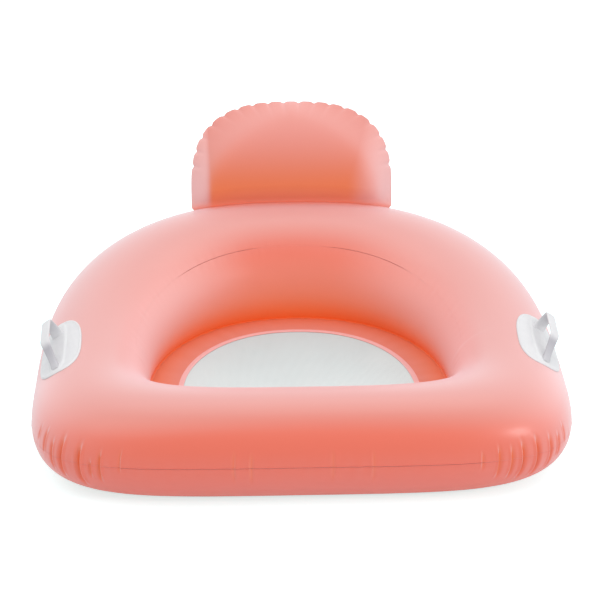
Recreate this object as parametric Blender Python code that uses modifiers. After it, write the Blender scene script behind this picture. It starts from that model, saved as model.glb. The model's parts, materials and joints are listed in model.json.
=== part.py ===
"""Inflatable pool chair: a horseshoe-deep ring of welded vinyl film with a mesh seat,
a head pillow on the back of the ring, two moulded grab handles and two air valves.

Metres, +Z up. The chair stands on the floor at Z = 0, its front towards -Y, and the
origin is under the middle of its outline. Every film is an open sheet given its real
thickness, and neighbouring films meet at narrow weld fins.
"""

import math

import bmesh
import bpy
from mathutils import Matrix, Vector
from mathutils.bvhtree import BVHTree

# Films and the clearance between pieces that touch
FILM = 0.00045
GAP = 0.0003

# Ring, measured from its widest line
RING_HALF_WIDTH = 0.594
FRONT_REACH = 0.401
BACK_REACH = 0.699
FRONT_TUBE_RADIUS = 0.1163
SIDE_TUBE_RADIUS = 0.127
BACK_TUBE_RADIUS = 0.161
FLOOR_PRESS = 0.004
FRONT_SQUARENESS = 4.8
BACK_SQUARENESS = 2.68
WELL_FRONT_SQUARENESS = 3.2
WELL_BACK_SQUARENESS = 2.07
BACK_STATIONS = 15
FRONT_STATIONS = 16
TURN_LENGTH = 0.12
CURVE_SAMPLES = 1200

# Ring seams
SEAM_FIN = 0.003
SEAM_GAP = 0.0008
CREASE_FIN = 0.006
WALL_SEAM_ANGLE = math.radians(41.5)
FRONT_WALL_HEIGHT = 0.030
WALL_RISE_SHARES = (0.12, 0.45)
TOP_STEPS = 8
WALL_STEPS = 4
OUTER_UNDER_STEPS = 3
INNER_UNDER_STEPS = 3

# Seat
SEAT_HEIGHT = 0.080
BORDER_WIDTH = 0.080
BORDER_FILM = 0.0006
BORDER_TUCK = 0.0008
STRIP_WIDTH = 0.012
STRIP_FILM = 0.0005
MESH_THICKNESS = 0.0006
MESH_TUCK = 0.014
MESH_SAG = 0.016
MESH_ROW_SHARES = (0.78, 0.5, 0.24)

# Pillow, in its own leaning plane
PILLOW_SETBACK = 0.089
PILLOW_LEAN = math.radians(10)
PILLOW_HALF_WIDTH = 0.243
PILLOW_RISE = 0.220
PILLOW_SIDE = 0.026
PILLOW_SQUARENESS = 2.8
PILLOW_FRONT_CROWN = 0.080
PILLOW_BACK_CROWN = 0.064
PILLOW_FIN = 0.008
PILLOW_FOOT_FIN = 0.001
PILLOW_PRESS = 0.0035
PILLOW_FOOT_CLEARANCE = 0.0014
PILLOW_LOBES = 23
POINTS_PER_LOBE = 3
PILLOW_FOOT_STEPS = 12
PILLOW_ROW_SHARES = (0.95, 0.84, 0.66, 0.4)
NOTCH_SHARE = 0.45
GATHER_SHARE = 0.10
GATHERED_ROWS = 2
CROWN_POWER = 2.4
CROWN_ROOT = 1.9
FOOT_STRIP_FILM = 0.0006
FOOT_STRIP_HALF = 0.012

# Grab handles
HANDLE_FORWARD = 0.032
HANDLE_ANGLE = math.radians(128)
HANDLE_STATIONS = 5
PATCH_HALF_LENGTH = 0.112
PATCH_HALF_WIDTH = 0.054
PATCH_THICKNESS = 0.0022
PATCH_SQUARENESS = 2.8
PATCH_SIDES = 28
BOSS_HALF_LENGTH = 0.103
BOSS_HALF_WIDTH = 0.024
BOSS_THICKNESS = 0.0050
BOSS_SQUARENESS = 3.2
GRIP_HALF_SPAN = 0.106
GRIP_RISE = 0.047
GRIP_CROWN_WIDTH = 0.021
GRIP_FOOT_WIDTH = 0.028
GRIP_CROWN_THICKNESS = 0.0050
GRIP_FOOT_THICKNESS = 0.0080
GRIP_FOOT_LEVEL = -0.006
GRIP_STEPS = 14
GRIP_SIDES = 10
GRIP_SQUARENESS = 2.8
GRIP_ARCH_POWER = 3.2

# Air valves
VALVE_SIDES = 18
VALVE_SEAT_GAP = 0.0008
VALVE_FLANGE_RADIUS = 0.019
VALVE_FLANGE_THICKNESS = 0.0012
VALVE_HOLE_RADIUS = 0.0150
VALVE_CUP_RADIUS = 0.0145
VALVE_CUP_DEPTH = 0.0036
VALVE_WALL = 0.0012
SLEEVE_DEPTH = 0.005
STEM_RADIUS = 0.0060
STEM_BORE_RADIUS = 0.0040
STEM_RIM_RADIUS = 0.0072
STEM_RIM_THICKNESS = 0.0012
STEM_STOP_RADIUS = 0.0080
STEM_STOP_THICKNESS = 0.0012
STEM_TRAVEL = 0.012
PLUG_HEAD_RADIUS = 0.0070
PLUG_HEAD_THICKNESS = 0.0018
PLUG_PIN_LENGTH = 0.005
PLUG_PIN_TAPER = 0.0010
TETHER_REACH = 0.0105
TETHER_WIDTH = 0.0034
TETHER_THICKNESS = 0.0010
FLAP_RADIUS = 0.0050
FLAP_THICKNESS = 0.0006
RING_VALVE_ACROSS = -0.24
RING_VALVE_HEIGHT = 0.225
PILLOW_VALVE_ACROSS = -0.095
PILLOW_VALVE_UP = 0.085
CUT_OVERRUN = 0.012
FAR = 1.0

# Colours, as linear values
CORAL = (0.78, 0.19, 0.12, 1.0)
PALE_PINK = (0.90, 0.48, 0.42, 1.0)
WHITE = (0.86, 0.86, 0.85, 1.0)
CLEAR_WHITE = (0.80, 0.82, 0.82, 1.0)

PART_COLLECTION = "inflatable_pool_chair"
CUTTER_COLLECTION = "cutters"


# Scene helpers


def clear_scene():
    for obj in list(bpy.data.objects):
        bpy.data.objects.remove(obj, do_unlink=True)


def make_collection(name):
    collection = bpy.data.collections.new(name)
    bpy.context.scene.collection.children.link(collection)
    return collection


def make_material(name, colour, roughness, metallic=0.0):
    material = bpy.data.materials.new(name)
    material.use_nodes = True
    shader = material.node_tree.nodes["Principled BSDF"]
    shader.inputs["Base Color"].default_value = colour
    shader.inputs["Roughness"].default_value = roughness
    shader.inputs["Metallic"].default_value = metallic
    return material


def add_object(name, points, faces, colour, roughness):
    """A mesh object of the part, with its own material."""
    mesh = bpy.data.meshes.new(name)
    mesh.from_pydata([tuple(p) for p in points], [], faces)
    mesh.shade_smooth()
    obj = bpy.data.objects.new(name, mesh)
    part.objects.link(obj)
    mesh.materials.append(make_material(name + "_finish", colour, roughness))
    return obj


def add_cutter(name, points, faces):
    """A closed shape that a Boolean reads and that isn't part of the chair."""
    mesh = bpy.data.meshes.new(name)
    mesh.from_pydata([tuple(p) for p in points], [], faces)
    shape = bmesh.new()
    shape.from_mesh(mesh)
    bmesh.ops.recalc_face_normals(shape, faces=shape.faces)
    shape.to_mesh(mesh)
    shape.free()
    obj = bpy.data.objects.new(name, mesh)
    cutters.objects.link(obj)
    obj.hide_render = True
    obj.display_type = "WIRE"
    return obj


def add_solidify(obj, thickness, outward=False):
    shell = obj.modifiers.new("film", "SOLIDIFY")
    shell.thickness = thickness
    shell.offset = 1.0 if outward else -1.0
    shell.use_even_offset = True
    shell.use_quality_normals = True
    return shell


def add_boolean(obj, other, operation):
    cut = obj.modifiers.new(other.name, "BOOLEAN")
    cut.operation = operation
    cut.solver = "EXACT"
    cut.object = other
    return cut


def sheet_faces(columns, closed=True):
    """Triangles between neighbouring columns of points. The left half mirrors the right
    half, so pieces laid on the ring fold along the same lines as the ring."""
    rows = len(columns[0])
    count = len(columns)
    faces = []
    for i in range(count if closed else count - 1):
        a = i * rows
        b = (i + 1) % count * rows
        on_left = columns[i][0].x + columns[(i + 1) % count][0].x < 0
        for j in range(rows - 1):
            if on_left:
                faces += [(a + j, b + j, a + j + 1), (b + j, b + j + 1, a + j + 1)]
            else:
                faces += [(a + j, b + j, b + j + 1), (a + j, b + j + 1, a + j + 1)]
    return faces


def domed_faces(columns):
    """The same, closed over the middle by a fan to one last point."""
    rows = len(columns[0])
    count = len(columns)
    last = count * rows
    fan = [((i + 1) * rows - 1, (i + 1) % count * rows + rows - 1, last) for i in range(count)]
    return sheet_faces(columns) + fan


def flat_list(columns):
    return [p for column in columns for p in column]


def add_sheet(name, columns, colour, roughness, closed=True):
    return add_object(name, flat_list(columns), sheet_faces(columns, closed), colour, roughness)


def prism(name, outline, along):
    """A closed prism from an outline, half of `along` to each side of it."""
    count = len(outline)
    points = [p - along / 2 for p in outline] + [p + along / 2 for p in outline]
    faces = [tuple(range(count)), tuple(range(2 * count - 1, count - 1, -1))]
    faces += [(i, (i + 1) % count, count + (i + 1) % count, count + i) for i in range(count)]
    return add_cutter(name, points, faces)


def superellipse(half_u, half_v, squareness, sides):
    """Points of a closed superellipse, as pairs."""
    pairs = []
    for k in range(sides):
        turn = 2 * math.pi * k / sides
        cosine, sine = math.cos(turn), math.sin(turn)
        pairs.append(
            (
                math.copysign(half_u * abs(cosine) ** (2 / squareness), cosine),
                math.copysign(half_v * abs(sine) ** (2 / squareness), sine),
            )
        )
    return pairs


def smooth_share(value, low, high):
    share = min(max((value - low) / (high - low), 0), 1)
    return share * share * (3 - 2 * share)


# Ring plan


def quarter_curve(half_width, reach, squareness):
    """A superellipse quarter from its side to its end, with a running measure that
    grows with length and with turning, so corners get their share of stations."""
    points = []
    for k in range(CURVE_SAMPLES + 1):
        turn = math.pi / 2 * k / CURVE_SAMPLES
        cosine = max(math.cos(turn), 0)
        sine = math.sin(turn)
        points.append(
            Vector((half_width * cosine ** (2 / squareness), reach * sine ** (2 / squareness)))
        )
    measure = [0]
    heading = None
    for first, second in zip(points, points[1:]):
        step = second - first
        turned = abs(heading.angle(step)) if heading and step.length > 0 else 0
        measure.append(measure[-1] + step.length + TURN_LENGTH * turned)
        heading = step
    return points, measure


def spaced(points, measure, count):
    """`count` + 1 points at equal shares of the measure."""
    found = []
    k = 0
    for n in range(count + 1):
        wanted = measure[-1] * n / count
        while k < len(points) - 2 and measure[k + 1] < wanted:
            k += 1
        share = (wanted - measure[k]) / (measure[k + 1] - measure[k])
        found.append(points[k].lerp(points[k + 1], min(max(share, 0), 1)))
    return found


class Station:
    """One cross-section of the ring, in the upright plane through its inner and outer edge."""

    def __init__(self, outer, inner):
        self.share = min(max((outer.y + FRONT_REACH) / (FRONT_REACH + BACK_REACH), 0), 1)
        self.radius = tube_radius(self.share)
        middle = (outer + inner) / 2
        self.out = Vector((outer.x - inner.x, outer.y - inner.y, 0)).normalized()
        self.half = (outer - inner).length / 2
        self.level = self.radius - FLOOR_PRESS
        self.middle = Vector((middle.x, middle.y + WIDEST_Y, self.level))

    def point(self, angle, lift=0.0):
        """A place on the tube: 0 at the inner side, a quarter turn at the top."""
        cosine, sine = math.cos(angle), math.sin(angle)
        place = self.middle - self.out * self.half * cosine
        place.z += self.radius * sine
        return place + self.normal(angle) * lift

    def normal(self, angle):
        way = -self.out * (math.cos(angle) / self.half)
        way.z = math.sin(angle) / self.radius
        return way.normalized()

    def angle_at(self, height):
        """The angle on the inner side where the tube is at this height."""
        return math.asin((height - self.level) / self.radius)

    def seam_angle(self):
        """The top seam of the inner wall, low at the front and high at the back."""
        low = self.angle_at(SEAT_HEIGHT + FRONT_WALL_HEIGHT)
        return low + (WALL_SEAM_ANGLE - low) * smooth_share(self.share, *WALL_RISE_SHARES)


def tube_radius(share):
    """Radius of the tube from the front, 0, through the sides to the back, 1."""
    return (
        FRONT_TUBE_RADIUS * (1 - share) * (1 - 2 * share)
        + SIDE_TUBE_RADIUS * 4 * share * (1 - share)
        + BACK_TUBE_RADIUS * share * (2 * share - 1)
    )


def ring_stations():
    """Stations counter-clockwise from the right side, by way of the back."""
    well_half_width = RING_HALF_WIDTH - 2 * SIDE_TUBE_RADIUS
    quarters = []
    for reach, squareness, end_radius, well_squareness, count in (
        (BACK_REACH, BACK_SQUARENESS, BACK_TUBE_RADIUS, WELL_BACK_SQUARENESS, BACK_STATIONS),
        (FRONT_REACH, FRONT_SQUARENESS, FRONT_TUBE_RADIUS, WELL_FRONT_SQUARENESS, FRONT_STATIONS),
    ):
        outer = spaced(*quarter_curve(RING_HALF_WIDTH, reach, squareness), count)
        inner = spaced(
            *quarter_curve(well_half_width, reach - 2 * end_radius, well_squareness), count
        )
        quarters.append(list(zip(outer, inner)))
    back, front = quarters

    def turned(pairs, x_sign, y_sign):
        flip = Vector((x_sign, y_sign))
        return [(outer * flip, inner * flip) for outer, inner in pairs]

    order = turned(back[:-1], 1, 1)
    order += turned(back[:0:-1], -1, 1)
    order += turned(front[:-1], -1, -1)
    order += turned(front[:0:-1], 1, -1)
    return [Station(outer, inner) for outer, inner in order]


# Ring panels


def steps(start, end, count):
    return [start + (end - start) * k / count for k in range(count + 1)]


def top_angles(station):
    rise = (SEAM_GAP / 2 + FILM) / station.radius
    return steps(math.pi - rise, station.seam_angle() + rise, TOP_STEPS)


def top_section(station):
    """Outer weld fin, over the top of the tube, and the fin at the inner wall's seam."""
    arc = [station.point(a) for a in top_angles(station)]
    fin = arc[0] + station.out * SEAM_FIN
    end = station.point(top_angles(station)[-1], SEAM_FIN)
    return [fin] + arc + [end]


def wall_section(station):
    """Seam fin, down the inner side, and the fin that holds the seat border."""
    start = station.seam_angle() - (SEAM_GAP / 2 + FILM) / station.radius
    end = station.angle_at(SEAT_HEIGHT + BORDER_FILM / 2 + GAP + FILM)
    arc = [station.point(a) for a in steps(start, end, WALL_STEPS)]
    return [station.point(start, SEAM_FIN)] + arc + [arc[-1] - station.out * CREASE_FIN]


def bottom_section(station):
    """Fin under the seat border, round the underside with its flat foot, and the outer fin."""
    start = station.angle_at(SEAT_HEIGHT - BORDER_FILM / 2 - GAP - FILM)
    flat = math.acos(station.level / station.radius)
    end = -math.pi + (SEAM_GAP / 2 + FILM) / station.radius
    angles = steps(start, -math.pi / 2 + flat, INNER_UNDER_STEPS)
    angles += steps(-math.pi / 2 - flat, end, OUTER_UNDER_STEPS)
    arc = [station.point(a) for a in angles]
    for place in arc:
        place.z = max(place.z, 0)
    return [arc[0] - station.out * CREASE_FIN] + arc + [arc[-1] + station.out * SEAM_FIN]


def build_ring():
    for name, section in (
        ("ring_top_panel", top_section),
        ("ring_inner_wall", wall_section),
        ("ring_bottom_panel", bottom_section),
    ):
        add_solidify(add_sheet(name, [section(s) for s in stations], CORAL, 0.32), FILM)


# Seat


def seat_outline(inset):
    """The crease line drawn in towards the seat by `inset` at its sides and ends."""
    line = [s.point(s.angle_at(SEAT_HEIGHT)) for s in stations]
    right = max(p.x for p in line)
    back = max(p.y for p in line) - WIDEST_Y
    front = WIDEST_Y - min(p.y for p in line)
    outline = []
    for p in line:
        ahead = p.y - WIDEST_Y
        reach = back if ahead > 0 else front
        outline.append(
            Vector((p.x * (1 - inset / right), WIDEST_Y + ahead * (1 - inset / reach), 0))
        )
    return outline


def level_band(outlines, height):
    return [[Vector((p.x, p.y, height)) for p in points] for points in zip(*outlines)]


def build_seat():
    border_rows = [seat_outline(inset) for inset in (BORDER_TUCK, BORDER_WIDTH)]
    border = add_sheet(
        "seat_border", level_band(border_rows, SEAT_HEIGHT + BORDER_FILM / 2), CORAL, 0.34
    )
    add_solidify(border, BORDER_FILM)

    strip_rows = [seat_outline(BORDER_WIDTH - STRIP_WIDTH), seat_outline(BORDER_WIDTH)]
    strip_top = SEAT_HEIGHT + BORDER_FILM / 2 + GAP + STRIP_FILM
    strip = add_sheet("seat_weld_strip", level_band(strip_rows, strip_top), PALE_PINK, 0.4)
    add_solidify(strip, STRIP_FILM)

    mesh_top = SEAT_HEIGHT - BORDER_FILM / 2 - GAP
    rim = seat_outline(BORDER_WIDTH - MESH_TUCK)
    edge = seat_outline(BORDER_WIDTH)
    centre = sum(edge, Vector()) / len(edge)
    columns = []
    for outer, inner in zip(rim, edge):
        column = [Vector((outer.x, outer.y, mesh_top)), Vector((inner.x, inner.y, mesh_top))]
        for share in MESH_ROW_SHARES:
            place = centre.lerp(inner, share)
            place.z = mesh_top - MESH_SAG * (1 - share * share)
            column.append(place)
        columns.append(column)
    points = flat_list(columns) + [Vector((centre.x, centre.y, mesh_top - MESH_SAG))]
    mesh = add_object("seat_mesh", points, domed_faces(columns), WHITE, 0.6)
    add_solidify(mesh, MESH_THICKNESS)


# Pieces laid on the ring


def laid_sheet(name, middle, count, lift, thickness, colour, roughness, first_row=0):
    """A piece of the top panel's surface, lifted clear of it, for a patch or strip that follows it."""
    columns = []
    for offset in range(-count, count + 1):
        station = stations[(middle + offset) % len(stations)]
        columns.append([station.point(a, lift) for a in top_angles(station)[first_row:]])
    sheet = add_sheet(name, columns, colour, roughness, closed=False)
    add_solidify(sheet, thickness, outward=True)
    return sheet


def laid_cutter(name, middle, count, lift, thickness):
    """A laid sheet that only shapes another piece."""
    sheet = laid_sheet(name, middle, count, lift, thickness, WHITE, 0.4)
    part.objects.unlink(sheet)
    cutters.objects.link(sheet)
    sheet.hide_render = True
    sheet.display_type = "WIRE"
    return sheet


def ring_probe():
    """A tree of the ring's upper facets, to set other pieces on them."""
    columns = [[s.point(a) for a in top_angles(s)] for s in stations]
    return BVHTree.FromPolygons(flat_list(columns), sheet_faces(columns))


def ring_height(place):
    """Height of the ring's top at a place in plan, or None beside the ring."""
    hit = probe.ray_cast(Vector((place.x, place.y, FAR)), Vector((0, 0, -1)))[0]
    return hit.z if hit else None


# Pillow


class PillowPlane:
    """The leaning plane of the pillow's rim, with its foot on top of the ring."""

    def __init__(self):
        self.foot = Vector((0, WIDEST_Y + BACK_REACH - PILLOW_SETBACK, 0))
        self.foot.z = ring_height(self.foot)
        self.up = Vector((0, math.sin(PILLOW_LEAN), math.cos(PILLOW_LEAN)))
        self.front = Vector((0, -math.cos(PILLOW_LEAN), math.sin(PILLOW_LEAN)))

    def place(self, across, up, forward=0.0):
        return self.foot + Vector((across, 0, 0)) + self.up * up + self.front * forward

    def ring_level(self, across):
        """How far up this plane the ring's surface is, at a place across it."""
        start = self.place(across, FAR)
        hit = probe.ray_cast(start, -self.up)[0]
        return (hit - self.place(across, 0)).dot(self.up)


def pillow_outline(plane):
    """Rim of the pillow as (across, up, fin width), up its right side, over the top,
    down the left side and back along its foot. Lobes of the gathered rim meet in notches."""
    foot_lift = GAP + FOOT_STRIP_FILM + PILLOW_FOOT_CLEARANCE + PILLOW_FOOT_FIN
    corner_up = plane.ring_level(PILLOW_HALF_WIDTH) + foot_lift
    path = [Vector((PILLOW_HALF_WIDTH, corner_up)), Vector((PILLOW_HALF_WIDTH, PILLOW_SIDE))]
    for k in range(1, CURVE_SAMPLES):
        turn = math.pi * k / CURVE_SAMPLES
        cosine = math.cos(turn)
        across = math.copysign(PILLOW_HALF_WIDTH * abs(cosine) ** (2 / PILLOW_SQUARENESS), cosine)
        up = PILLOW_SIDE + PILLOW_RISE * math.sin(turn) ** (2 / PILLOW_SQUARENESS)
        path.append(Vector((across, up)))
    path.append(Vector((-PILLOW_HALF_WIDTH, PILLOW_SIDE)))
    path.append(Vector((-PILLOW_HALF_WIDTH, corner_up)))
    measure = [0]
    for first, second in zip(path, path[1:]):
        measure.append(measure[-1] + (second - first).length)
    rim = spaced(path, measure, PILLOW_LOBES * POINTS_PER_LOBE)
    outline = []
    for k, place in enumerate(rim):
        notch = k % POINTS_PER_LOBE == 0
        fin = PILLOW_FIN * (1 - NOTCH_SHARE) if notch else PILLOW_FIN
        at_corner = k in (0, len(rim) - 1)
        outline.append((place, PILLOW_FOOT_FIN if at_corner else fin, 0 if notch else 1))
    for across in steps(-PILLOW_HALF_WIDTH, PILLOW_HALF_WIDTH, PILLOW_FOOT_STEPS)[1:-1]:
        place = Vector((across, plane.ring_level(across) + foot_lift))
        outline.append((place, PILLOW_FOOT_FIN, 0.5))
    return outline


def crown(share):
    """Height of an inflated panel from its rim, 1, to its middle, 0."""
    return (1 - share**CROWN_POWER) ** (1 / CROWN_ROOT)


def lift_off_ring(place):
    """The pillow is pressed flat where it rests on the ring."""
    height = ring_height(place)
    if height is not None:
        place.z = max(place.z, height + PILLOW_PRESS)
    return place


def build_pillow():
    plane = PillowPlane()
    outline = pillow_outline(plane)
    heart = Vector((0, (PILLOW_SIDE + PILLOW_RISE) / 2))
    for name, way, height in (
        ("pillow_front_panel", 1, PILLOW_FRONT_CROWN),
        ("pillow_back_panel", -1, PILLOW_BACK_CROWN),
    ):
        skin = GAP / 2 + FILM
        columns = []
        for k, (rim, fin, lobe) in enumerate(outline):
            along = outline[(k + 1) % len(outline)][0] - outline[k - 1][0]
            outward = Vector((along.y, -along.x)).normalized()
            tip = rim + outward * fin
            column = [plane.place(tip.x, tip.y, way * skin), plane.place(rim.x, rim.y, way * skin)]
            for row, share in enumerate(PILLOW_ROW_SHARES):
                spot = heart.lerp(rim, share)
                gather = 1 + GATHER_SHARE * (lobe - 0.5) * max(1 - row / GATHERED_ROWS, 0)
                rise = skin + height * crown(share) * gather
                column.append(lift_off_ring(plane.place(spot.x, spot.y, way * rise)))
            columns.append(column)
        points = flat_list(columns) + [plane.place(heart.x, heart.y, way * (skin + height))]
        faces = domed_faces(columns)
        if way < 0:
            faces = [face[::-1] for face in faces]
        add_solidify(add_object(name, points, faces, CORAL, 0.32), FILM)

    strip = laid_sheet(
        "pillow_foot_strip", BACK_STATIONS, BACK_STATIONS - 4, GAP, FOOT_STRIP_FILM, CORAL, 0.35,
        first_row=1,
    )
    half_width = PILLOW_HALF_WIDTH + PILLOW_FIN
    corners = [
        Vector((x, plane.foot.y + y, plane.foot.z))
        for x, y in (
            (-half_width, -FOOT_STRIP_HALF),
            (half_width, -FOOT_STRIP_HALF),
            (half_width, FOOT_STRIP_HALF),
            (-half_width, FOOT_STRIP_HALF),
        )
    ]
    box = prism("foot_strip_outline", corners, Vector((0, 0, 2 * BACK_TUBE_RADIUS)))
    add_boolean(strip, box, "INTERSECT")
    return plane


# Grab handles


class SurfaceFrame:
    """A place on the ring with axes along it, across it and straight out of it."""

    def __init__(self, side):
        flank = [s for s in stations if s.middle.x * side > 0]
        wanted = WIDEST_Y - HANDLE_FORWARD
        station = min(flank, key=lambda s: abs(s.point(HANDLE_ANGLE).y - wanted))
        self.index = stations.index(station)
        way = station.normal(HANDLE_ANGLE)
        way = Vector((way.x, 0, way.z)).normalized()

        def surface(y):
            start = Vector((station.middle.x, y, station.middle.z)) + way * FAR
            return probe.ray_cast(start, -way)[0]

        self.origin = surface(wanted)
        ahead = surface(wanted + PATCH_HALF_LENGTH) - surface(wanted - PATCH_HALF_LENGTH)
        self.along = ahead.normalized()
        self.across = self.along.cross(way).normalized()
        self.out = self.across.cross(self.along)

    def place(self, along, across, out):
        return self.origin + self.along * along + self.across * across + self.out * out


def outline_prism(name, frame, half_length, half_width, squareness):
    outline = [
        frame.place(along, across, 0)
        for along, across in superellipse(half_length, half_width, squareness, PATCH_SIDES)
    ]
    return prism(name, outline, frame.out * SIDE_TUBE_RADIUS)


def grip_arch(name, frame):
    """The arched grip: wide at its feet, a narrower bar at its crown."""
    height = GRIP_RISE - GRIP_FOOT_LEVEL
    columns = []
    for k in range(GRIP_STEPS + 1):
        reach = math.cos(math.pi * k / GRIP_STEPS)
        fall = abs(reach) ** GRIP_ARCH_POWER
        centre = Vector((GRIP_HALF_SPAN * reach, GRIP_RISE - height * fall))
        slope = height * GRIP_ARCH_POWER * fall / reach if abs(reach) > 0 else 0
        normal = Vector((slope / GRIP_HALF_SPAN, 1)).normalized()
        half_width = (GRIP_CROWN_WIDTH + (GRIP_FOOT_WIDTH - GRIP_CROWN_WIDTH) * fall) / 2
        half_depth = (GRIP_CROWN_THICKNESS + (GRIP_FOOT_THICKNESS - GRIP_CROWN_THICKNESS) * fall) / 2
        column = []
        for across, deep in superellipse(half_width, half_depth, GRIP_SQUARENESS, GRIP_SIDES):
            spot = centre + normal * deep
            column.append(frame.place(spot.x, across, spot.y))
        columns.append(column)
    count = len(columns[0])
    points = flat_list(columns)
    faces = []
    for i in range(len(columns) - 1):
        for j in range(count):
            n = (j + 1) % count
            faces.append((i * count + j, i * count + n, (i + 1) * count + n, (i + 1) * count + j))
    faces.append(tuple(range(count)))
    faces.append(tuple(range(len(points) - 1, len(points) - count - 1, -1)))
    return add_cutter(name, points, faces)


def build_handle(name, side):
    frame = SurfaceFrame(side)
    handle = laid_sheet(name, frame.index, HANDLE_STATIONS, GAP, PATCH_THICKNESS, WHITE, 0.4)
    outline = outline_prism(
        name + "_outline", frame, PATCH_HALF_LENGTH, PATCH_HALF_WIDTH, PATCH_SQUARENESS
    )
    add_boolean(handle, outline, "INTERSECT")

    base = GAP + PATCH_THICKNESS / 2
    boss = laid_cutter(name + "_boss", frame.index, HANDLE_STATIONS, base, GAP + BOSS_THICKNESS - base)
    boss_outline = outline_prism(
        name + "_boss_outline", frame, BOSS_HALF_LENGTH, BOSS_HALF_WIDTH, BOSS_SQUARENESS
    )
    add_boolean(boss, boss_outline, "INTERSECT")

    grip = grip_arch(name + "_grip", frame)
    grip_foot = GAP + PATCH_THICKNESS / 4
    room = laid_cutter(name + "_grip_room", frame.index, HANDLE_STATIONS, grip_foot, 2 * GRIP_RISE)
    add_boolean(grip, room, "INTERSECT")
    add_boolean(handle, boss, "UNION")
    add_boolean(handle, grip, "UNION")


# Air valves


def turned_piece(name, profile, place, colour, closed):
    """A profile in the local XZ plane turned about the local Z axis."""
    mesh = bpy.data.meshes.new(name)
    count = len(profile)
    edges = [(k, k + 1) for k in range(count - 1)]
    if closed:
        edges.append((count - 1, 0))
    mesh.from_pydata([(r, 0, z) for r, z in profile], edges, [])
    obj = bpy.data.objects.new(name, mesh)
    part.objects.link(obj)
    mesh.materials.append(make_material(name + "_finish", colour, 0.25))
    turn = obj.modifiers.new("turn", "SCREW")
    turn.steps = VALVE_SIDES
    turn.render_steps = VALVE_SIDES
    turn.use_merge_vertices = True
    turn.merge_threshold = 0.00001
    turn.use_smooth_shade = True
    obj.matrix_world = place
    return obj


def block(name, low, high, place):
    """A box cutter between two local corners."""
    xs, ys, zs = zip(low, high)
    points = [place @ Vector((x, y, z)) for x in xs for y in ys for z in zs]
    faces = [(0, 1, 3, 2), (4, 6, 7, 5), (0, 4, 5, 1), (2, 3, 7, 6), (0, 2, 6, 4), (1, 5, 7, 3)]
    return add_cutter(name, points, faces)


def hinge_empty(name, place):
    empty = bpy.data.objects.new(name, None)
    part.objects.link(empty)
    empty.matrix_world = place
    return empty


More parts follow.
